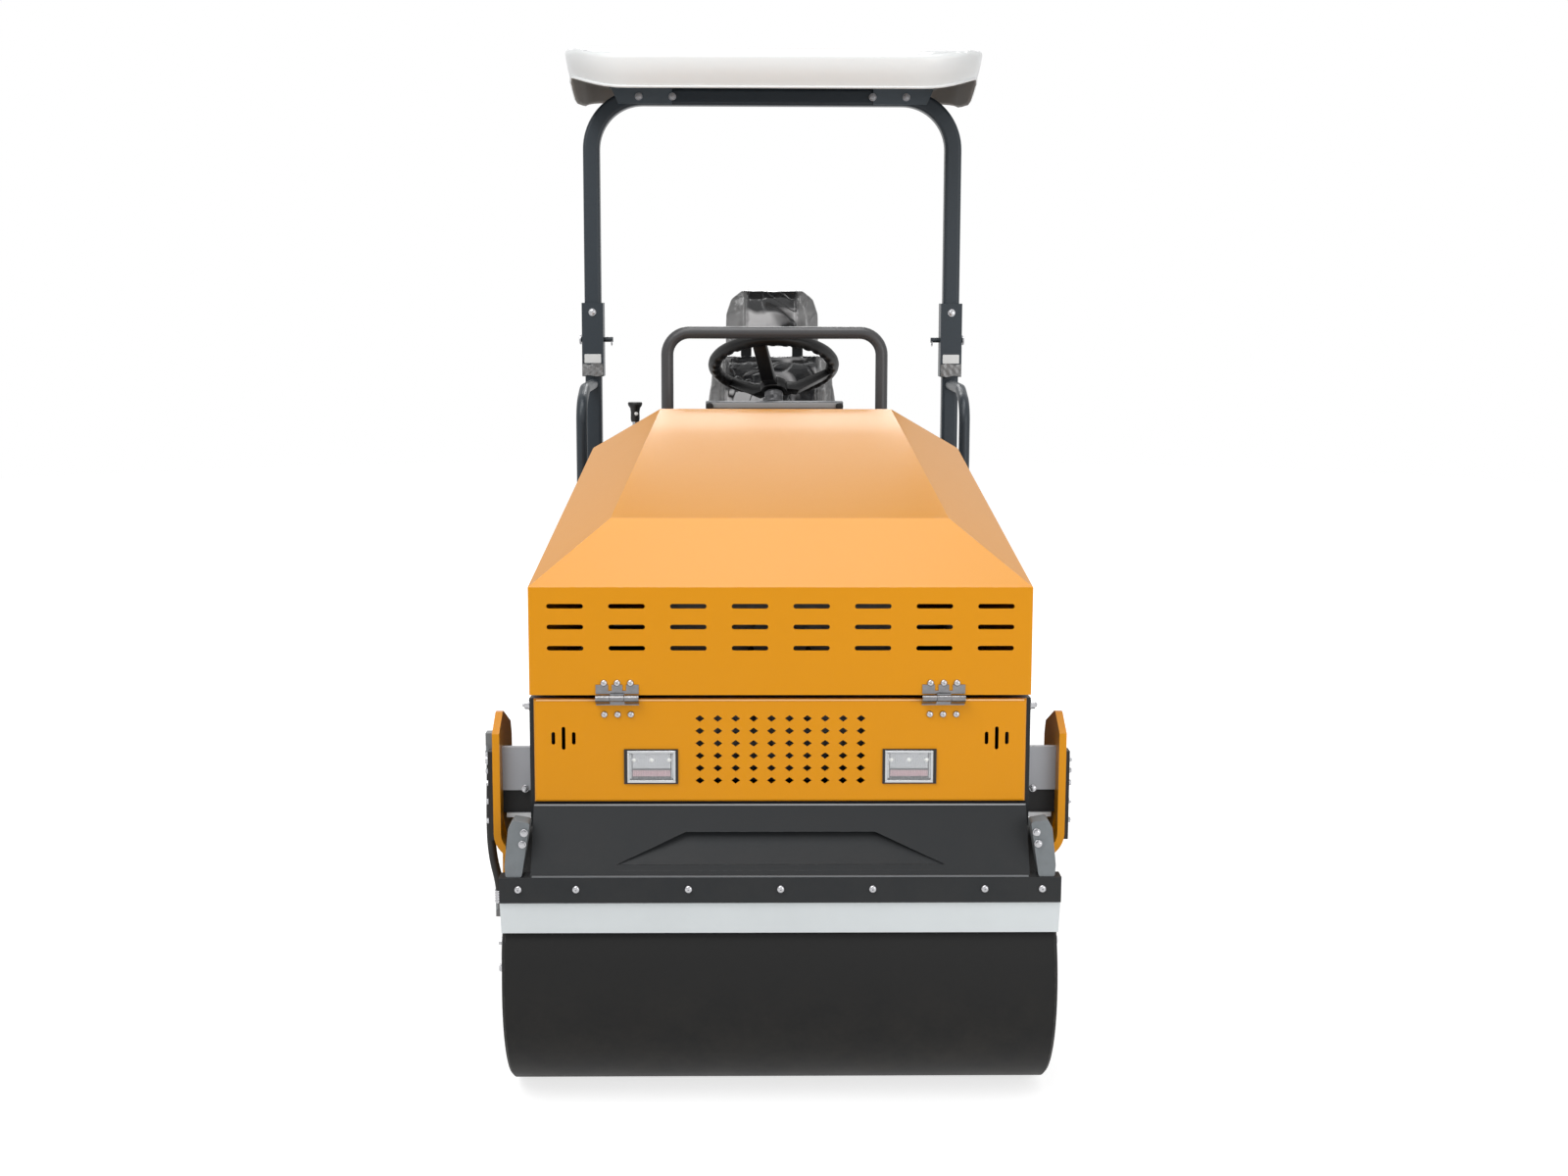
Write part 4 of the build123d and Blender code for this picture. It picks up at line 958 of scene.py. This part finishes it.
wheel = dict(centre=(0, 0.350, 1.583), tilt=27.5, rim=0.173, tube=0.0172, dish=66, spokes=(15, 135, 255),
    spokeHalf=19, grips=30, gripShare=0.6, gripRise=0.0032)


def wheelPlace():
    tilt = math.radians(wheel["tilt"])
    side, up = Vector((1, 0, 0)), Vector((0, math.sin(tilt), math.cos(tilt)))
    return moveTo(*wheel["centre"]) @ Matrix((side, up.cross(side), up)).transposed().to_4x4()


def makeWheel():
    rim = addRing(wheel["rim"], wheel["tube"], wheel["grips"] * 4, 16)
    period = 2 * math.pi / wheel["grips"]

    def onGrip(point):
        angle = math.atan2(point.co.y, point.co.x) % period
        inner = math.hypot(point.co.x, point.co.y) < wheel["rim"] + 0.004
        return angle < period * wheel["gripShare"] and inner and point.co.z < 0.004

    editPart(rim, "VERT", onGrip)
    bpy.ops.transform.shrink_fatten(value=wheel["gripRise"])
    leaveEdit()
    hub, reach, half = -wheel["dish"], wheel["rim"] * 1000, wheel["spokeHalf"]
    side = [(24, hub - 12), (24, hub + 12), (58, hub + 13), (reach, 10), (reach, -12), (72, hub - 12)]
    spoke = plateFrom([(x, -half, z) for x, z in side], (0, 2 * half, 0))
    bevelSharp(insetTop(spoke, 0.005, -0.0035, 0.5), 0.0018, 2)
    spokes = copiesOf(spoke, [Matrix.Rotation(math.radians(angle), 4, "Z") for angle in wheel["spokes"]])
    boss = [(0, 27), (16, 26), (26, 22), (30, 16), (31, 14), (37, 13), (39, 10), (39, -10), (36, -15),
            (10.5, -15), (10.5, 6), (0, 6)]
    middle = turned([(radius, hub + height) for radius, height in boss], 40)
    whole = placeMesh(joinPieces([rim, *spokes, middle]), wheelPlace())
    finish(whole, "wheelWithGrips", "wheelBlack", "steering_wheel", 40, ("steering_wheel",))


def makeColumnBoot():
    outline = [(24.5, -196), (46, -196), (48, -190)]
    for step in range(5):
        height, wide = -186 + step * 12, 44 - step * 3.5
        outline += [(wide, height), (wide - 6, height + 4), (wide - 6, height + 7), (wide - 1, height + 11)]
    outline += [(26.5, -126), (24.5, -124)]
    finish(placeMesh(turned(outline, 36), wheelPlace()), "columnBoot", "blackRubber", rear)
    collar = turned([(24.6, -122), (26.4, -122), (27.2, -120), (27.2, -112), (25.8, -110), (25.8, -98), (26.8, -96),
                     (26.8, -89), (26, -87), (24.6, -87), (24.6, -122)], 36)
    finish(placeMesh(collar, wheelPlace()), "columnCollar", "collarGrey", rear)


makeWheel()
makeColumnBoot()
print("steering wheel")


# travel lever with its boot and grip

lever = dict(x=-0.410, y=0.440, base=1.270, top=1.470)


def makeLever():
    x, y, top = lever["x"], lever["y"], lever["top"]
    foot, head = moveTo(x, y, lever["base"]), moveTo(x, y, top)
    outline = [(0, 1), (46, 1), (48, 6)]
    for step in range(5):
        height, wide = 10 + step * 13, 42 - step * 6.2
        outline += [(wide, height), (wide - 7, height + 5), (wide - 6, height + 9)]
    outline += [(10, 74), (0, 74)]
    finish(placeMesh(turned(outline, 32), foot), "leverBoot", "blackRubber", rear)
    stem = turned([(0, 0), (8, 0), (8, 140), (11, 140), (11, 150), (0, 150)], 20)
    finish(placeMesh(stem, foot), "leverStem", "zincPlate", rear, 35, ("travel_lever",))
    grip = turned([(0, -58), (12, -58), (13.5, -50), (13, -30), (15, -18), (20.5, -10), (21.5, -4), (19.5, -0.5),
                   (0, 0)], 28)
    finish(placeMesh(grip, head), "leverGrip", "blackPlastic", rear, 50)
    dot = turned([(0, 3), (4, 2.6), (5.5, 1), (5.8, -2), (0, -2)], 18)
    placeMesh(dot, facing((0, -1, 0.15), (x + 0.004, y - 0.0135, top - 0.034)))
    finish(dot, "leverButton", "plainLabel", rear)


makeLever()
print("lever")


# roof: a moulded shell, white outside and grey on its inner faces, its front lip tucked under and its sides hanging
# lower

roof = dict(half=0.604, front=0.235, rear=1.135, low=2.36, high=2.45, corner=0.19, wall=0.005,
    crown=[(0.235, 2.452), (0.300, 2.472), (0.500, 2.497), (0.700, 2.497), (1.135, 2.470)],
    sideLip=[(0.235, 2.372), (0.300, 2.392), (0.425, 2.402), (0.620, 2.364), (0.800, 2.376), (1.135, 2.416)],
    frontLip=2.370, frontEnd=0.425, endRise=0.046, endFrom=0.42, tuck=0.040, sideTuck=0.014,
    cuts=((-0.36, -0.24, -0.12, 0, 0.12, 0.24, 0.36),
          (0.300, 0.360, 0.460, 0.500, 0.540, 0.580, 0.640, 0.700, 0.800, 0.900), (2.374, 2.392, 2.414)),
    edge=0.014, rimFlare=1.006, bossX=0.370, bossHalf=0.055, boss=((0.768, 2.4362), (0.850, 2.4880)))


def share(value, low, high):
    return min(1.0, max(0.0, (value - low) / (high - low)))


def along(outline, place):
    for (first, low), (second, high) in zip(outline, outline[1:]):
        if place <= second:
            part = share(place, first, second)
            return low + (high - low) * part * part * (3 - 2 * part)
    return outline[-1][1]


def lipHeight(x, y):
    if y > roof["frontEnd"]:
        return along(roof["sideLip"], y)
    return roof["frontLip"] + roof["endRise"] * share(abs(x), roof["endFrom"], roof["half"]) ** 2


def makeRoof():
    low, high = roof["low"], roof["high"]
    shell = addBlock((-roof["half"], roof["front"], low), (roof["half"], roof["rear"], high))
    editPart(shell, "FACE", lambda face: face.normal.z < -0.9)
    bpy.ops.mesh.delete(type="FACE")
    leaveEdit()
    bevelWhere(shell, lambda edge: abs(edge.verts[0].co.z - edge.verts[1].co.z) > 0.05, roof["corner"], 8)
    for axis in (1, 0, 2):
        normal = Vector([float(index == axis) for index in range(3)])
        for level in roof["cuts"][axis]:
            editAll(shell)
            bpy.ops.mesh.bisect(plane_co=normal * level, plane_no=normal)
            leaveEdit()
    for point in shell.data.vertices:
        x, y, z = point.co
        level = (z - low) / (high - low)
        lip, crown = lipHeight(x, y), along(roof["crown"], y)
        point.co.z = lip + (crown - lip) * level
        tuck = max(0.0, 1 - level) ** 1.6
        if y < 0.5:
            point.co.y += roof["tuck"] * tuck * min(1.0, (0.5 - y) / 0.1)
        point.co.x -= math.copysign(roof["sideTuck"] * tuck, x) * share(abs(x), 0.36, 0.56)
    shell.data.update()
    bevelWhere(shell, lambda edge: sharp(edge, 50) and min(point.co.z for point in edge.verts) > 2.43,
               roof["edge"], 4)
    editPart(shell, "EDGE", lambda edge: edge.is_boundary)
    extrudeBy((0, 0, -0.004))
    bpy.ops.transform.resize(value=(roof["rimFlare"], roof["rimFlare"], 1), center_override=(0, 0.685, 2.4))
    leaveEdit()
    closeShell(shell, 0.0004)
    for look in ("whiteMoulding", "roofInnerGrey"):
        shell.data.materials.append(surfaces[look])
    useModifier(shell, "SOLIDIFY", thickness=roof["wall"], offset=-1.0, material_offset=1, material_offset_rim=0)
    finish(shell, "roofShell", "whiteMoulding", "roll_hoop", 40, ("canopy",))
    (nearY, lowZ), (farY, highZ) = roof["boss"]
    half, middles = roof["bossHalf"], [side * roof["bossX"] for side in sides]
    finish([addBlock((x - half, nearY, lowZ), (x + half, farY, highZ), 0.006, 2) for x in middles],
           "roofPads", "blackRubber", "roll_hoop")


makeRoof()
print("roof")


# blank plates, loose film and pin clips on the roll bar's sockets

post = dict(x=0.564, face=0.7665, labelZ=1.586, filmZ=1.551, ring=(0.5065, 0.800, 1.636),
    head=(0.6025, 0.800, 1.645))


def wrinkledFilm(wide, high, thick):
    deselectAll()
    bpy.ops.mesh.primitive_grid_add(x_subdivisions=18, y_subdivisions=12, size=1)
    film = bpy.context.object
    film.scale = (wide, high, 1)
    settle(film)
    for point in film.data.vertices:
        x, y = point.co.x / wide, point.co.y / high
        crease = abs(math.sin(9 * x + 5 * y)) + 0.7 * abs(math.sin(7 * y - 11 * x + 1.3)) + 0.4 * math.sin(21 * x)
        point.co.z = 0.0022 + 0.0016 * crease
        point.co.y += 0.004 * math.sin(8 * x) * y
    useModifier(film, "SOLIDIFY", thickness=thick, offset=0)
    return film


def makePostTrim():
    x, y = post["x"], post["face"]
    label = roundPlate(0.052, 0.028, 0.0006, 0.0025, 0.0002)
    labels = copiesOf(label, [forward(side * x, y, post["labelZ"]) for side in sides])
    finish(labels, "blankPlates", "plainLabel", rear)
    films = [facing((0, -1, 0), (side * x, y, post["filmZ"]), turn) for side, turn in ((-1, 0), (1, 3.14))]
    finish(copiesOf(wrinkledFilm(0.064, 0.038, 0.0004), films), "looseFilm", "filmedVinyl", rear, 60)
    pins = []
    for key, shape in (("ring", addRing(0.011, 0.0014, 32, 8)),
                       ("head", turned([(0, 0), (15, 0), (16, 1), (16, 4), (14, 5.5), (0, 5.5)], 24))):
        x, y, z = post[key]
        pins += copiesOf(shape, [facing((side, 0, 0), (side * x, y, z)) for side in sides])
    finish(pins, "foldPinRings", "zincPlate", rear)


makePostTrim()
print("roll bar trim")


# dash on the console: gauges, switches, key and warning lights, all without words

dash = dict(middle=(0, 0.2740, 1.4548), normal=(0, 0.3678, 0.9299), gauge=27, gaugeX=0.105, gaugeV=-0.022,
    switchV=0.052, switchU=(-0.145, -0.105, -0.065, 0.065), keyU=0.120, lightU=(-0.048, 0.048), lightV=0.028,
    ticks=9, tickStep=30, needle=70)


# lays a piece on the dash, u to the left and v down from its middle
def onDash(piece, u=0.0, v=0.0, turn=0.0):
    normal = Vector(dash["normal"])
    down = Vector((0, normal.z, -normal.y))
    place = Vector(dash["middle"]) + Vector((1, 0, 0)) * u + down * v
    axes = Matrix((Vector((1, 0, 0)), -down, normal)).transposed().to_4x4()
    return placeMesh(piece, moveTo(*place) @ axes @ Matrix.Rotation(turn, 4, "Z"))


def turnAbout(piece, degrees):
    return placeMesh(piece, Matrix.Rotation(math.radians(degrees), 4, "Z"))


def makeGauge(side):
    radius, tip = dash["gauge"], dash["gauge"] / 1000

    def laid(piece):
        return onDash(piece, side * dash["gaugeX"], dash["gaugeV"])

    bezel = turned([(radius - 4, 3), (radius - 4, 9), (radius - 2, 12), (radius + 1, 12), (radius + 3, 9),
                    (radius + 3, 3), (radius - 4, 3)], 40)
    face = turned([(0, 5.5), (radius - 3.8, 5.5), (radius - 3.8, 3), (0, 3)], 32)
    pivot = turned([(0, 7.8), (2.6, 7.4), (3, 6), (3, 5.4), (0, 5.4)], 16)
    ticks = [turnAbout(addBlock((-0.0004, tip - 0.0095, 0.0054), (0.0004, tip - 0.0055, 0.0058)),
                       (step - dash["ticks"] // 2) * dash["tickStep"]) for step in range(dash["ticks"])]
    needle = plateFrom([(-1.1, -5, 6.2), (1.1, -5, 6.2), (0.4, 16.5, 6.2), (-0.4, 16.5, 6.2)], (0, 0, 0.6))
    marks = ticks + [turnAbout(needle, -side * dash["needle"])]
    return [laid(bezel)], [laid(face), laid(pivot)], [laid(mark) for mark in marks]


def makeDash():
    plate = roundPlate(0.340, 0.150, 0.003, 0.012, 0.0008)
    finish(onDash(plate), "dashPlate", "blackPlastic", rear)
    right, left = makeGauge(-1), makeGauge(1)
    for index, (name, look) in enumerate((("gaugeBezels", "zincPlate"), ("gaugeFaces", "dialFace"),
                                          ("gaugeMarks", "dialMark"))):
        finish(right[index] + left[index], name, look, rear)
    switches = []
    for u in dash["switchU"]:
        rocker = insetTop(addBlock((-0.008, -0.013, 0.002), (0.008, 0.013, 0.009)), 0.0022, -0.0012)
        switches.append(onDash(bevelSharp(rocker, 0.0008), u, dash["switchV"]))
    finish(switches, "rockerSwitches", "blackPlastic", rear)
    barrel = turned([(0, 6), (5.5, 6), (6, 9), (8.5, 9), (10.5, 6), (10.5, 2), (0, 2)], 28)
    bow = [(2, 6), (2, 16), (9, 19), (10, 28), (4, 34)]
    outline = [(-2, 6)] + bow + [(-x, z) for x, z in bow[:0:-1]]
    key = plateFrom([(x, -0.8, z) for x, z in outline], (0, 1.6, 0))
    finish([onDash(barrel, dash["keyU"], dash["switchV"]), onDash(key, dash["keyU"], dash["switchV"], 0.4)],
           "keySwitch", "zincPlate", rear)
    lens = [(0, 6.8), (3, 6.2), (4.5, 4.5), (5, 2), (0, 2)]
    finish([onDash(turned(lens, 18), u, dash["lightV"]) for u in dash["lightU"]], "warningLights", "signalRed", rear)


makeDash()
print("dash")


# rubber mat on the deck, on each side of the seat box

deckMat = dict(x=((-0.362, -0.262), (0.262, 0.560)), y=(0.165, 0.735), thick=0.004, z=0.856, corner=0.02,
    margin=0.015, pitch=0.0215, ribHalf=0.004, ribHigh=0.0025)


def makeDeckMat():
    parts = []
    (lowY, highY), thick, margin = deckMat["y"], deckMat["thick"], deckMat["margin"]
    top = deckMat["z"] + thick
    for lowX, highX in deckMat["x"]:
        base = roundPlate(highX - lowX, highY - lowY, thick, deckMat["corner"], 0)
        parts.append(placeMesh(base, moveTo((lowX + highX) / 2, (lowY + highY) / 2, deckMat["z"])))
        count = max(2, round((highX - lowX) / deckMat["pitch"]))
        step = (highX - lowX - 2 * margin) / count
        for index in range(count):
            x = lowX + margin + step * (index + 0.5)
            parts.append(addBlock((x - deckMat["ribHalf"], lowY + 0.02, top - 0.0005),
                                  (x + deckMat["ribHalf"], highY - 0.02, top + deckMat["ribHigh"]), 0.0012))
    finish(parts, "deckMat", "blackRubber", rear)


makeDeckMat()
print("deck mat")


# what stands on the engine under the hood

engine = dict(top=1.180, coverX=0.02, middleY=-0.665, fins=7, finY=-0.800, finStep=0.045, cleanerX=-0.175,
    mufflerX=0.190, beltY=-0.912, pulleys=((0.800, 68), (1.030, 56)))


def makeEngine():
    top = engine["top"]
    cover = roundPlate(0.200, 0.340, 0.055, 0.020, 0.007, 3)
    placeMesh(cover, moveTo(engine["coverX"], engine["middleY"], top - 0.001))
    middles = [engine["finY"] + index * engine["finStep"] for index in range(engine["fins"])]
    fins = [addBlock((-0.070, y - 0.004, top + 0.052), (0.110, y + 0.004, top + 0.062), 0.002) for y in middles]
    finish([cover] + fins, "engineHeadCover", "engineAlloy", front)
    back = (0, 1, 0)
    cleaner = turned([(0, -130), (58, -130), (64, -124), (64, -50), (68, -48), (68, -40), (64, -38), (64, 120),
                      (56, 130), (20, 132), (0, 132)], 40)
    placeMesh(cleaner, facing(back, (engine["cleanerX"], -0.660, top + 0.050)))
    finish(cleaner, "airCleaner", "blackPlastic", front)
    half = [(0, 150), (30, 150), (52, 138), (56, 128)]
    muffler = turned([(radius, -height) for radius, height in half] + half[::-1], 36)
    placeMesh(muffler, facing(back, (engine["mufflerX"], -0.660, top + 0.030)))
    finish(muffler, "exhaustMuffler", "castIron", front)
    pipe = tubeAlong([(-0.175, -0.520, 1.230), (-0.175, -0.470, 1.235), (-0.120, -0.450, 1.235),
                      (-0.050, -0.470, 1.225), (-0.020, -0.520, 1.210), (-0.010, -0.560, 1.200)], 0.024)
    finish(pipe, "intakePipe", "blackRubber", front, 60)
    loop = ((0.060, 0.760), (-0.060, 0.760), (-0.095, 0.900), (-0.050, 1.060), (0.050, 1.060), (0.095, 0.900))
    belt = tubeAlong([(x, engine["beltY"], z) for x, z in loop], 0.006, closed=True)
    finish(belt, "fanBelt", "blackRubber", front, 60)
    pulleys = []
    for z, radius in engine["pulleys"]:
        pulley = turned([(0, -16), (radius + 6, -16), (radius + 6, -12), (radius - 4, -4), (radius - 4, 4),
                         (radius + 6, 12), (radius + 6, 16), (20, 16), (18, 24), (0, 24)], 40)
        pulleys.append(placeMesh(pulley, forward(0, engine["beltY"] - 0.003, z)))
    finish(pulleys, "beltPulleys", "castIron", front)


makeEngine()
print("engine")


# lighter strips painted as highlights where a fold or a flange top catches the light, plates under the ears, and the
# strip and knobs on the console

edges = dict(
    # the first three strips are painted highlights: lighter bands on tops that catch the light
    panelFoldHighlight=("foldHighlightPaint", front, (0.5250, -1.0632, 0.9212), (0.5250, -1.0618, 0.9248)),
    slopeFlangeHighlight=("stripGreyAndHighlight", front, (0.5320, -1.0640, 0.6860), (0.5320, -1.0622, 0.6935)),
    barFlangeHighlight=("barHighlightGrey", front, (0.5300, -1.1395, 0.5552), (0.5300, -1.1050, 0.5580)),
    consoleStrip=("stripGreyAndHighlight", rear, (0.1860, 0.1215, 1.4740), (0.1860, 0.1229, 1.4885)))
earPlate = dict(near=0.5420, far=0.6080, y=(-0.9518, -0.9501), z=(0.6298, 0.6400))
knobPlace = dict(x=0.181, y=0.1228, z=1.4785)


def makeEdges():
    for name, (look, body, low, high) in edges.items():
        bevel = min(0.0006, (high[1] - low[1]) * 0.4)
        finish(addBlock((-low[0], low[1], low[2]), high, bevel, 2), name, look, body)
    plates = []
    for side in sides:
        near, far = sorted((side * earPlate["near"], side * earPlate["far"]))
        (lowY, highY), (lowZ, highZ) = earPlate["y"], earPlate["z"]
        plates.append(addBlock((near, lowY, lowZ), (far, highY, highZ), 0.0006))
    finish(plates, "earPlates", "brightEdge", front)
    knob = turned([(0, 12), (8, 11.2), (10.5, 8), (10.5, 4), (8, 2), (8, 0), (0, 0)], 24)
    knobs = copiesOf(knob, [forward(side * knobPlace["x"], knobPlace["y"], knobPlace["z"]) for side in sides])
    finish(knobs, "consoleKnobs", "blackPlastic", rear)


makeEdges()
print("edges")


# grease nipple and keeper bolts on the waist pin

waistCap = dict(z=0.650, radius=0.024, angles=(0.5, 2.6, 4.7))


def makeWaistTrim():
    nipple = turned([(0, 16), (1.8, 15.5), (3, 13.5), (1.8, 11.5), (1.8, 9), (4.5, 8), (4.5, 0), (0, 0)], 16)
    finish(placeMesh(nipple, moveTo(0, 0, waistCap["z"])), "waistNipple", "zincPlate", front)
    circle = [(waistCap["radius"] * math.cos(angle), waistCap["radius"] * math.sin(angle), waistCap["z"])
              for angle in waistCap["angles"]]
    placeBolts("waistCapBolts", "smallHex", circle, (0, 0, 1), front)


makeWaistTrim()
print("waist trim")

for shape in boltShapes.values():
    remove(shape)
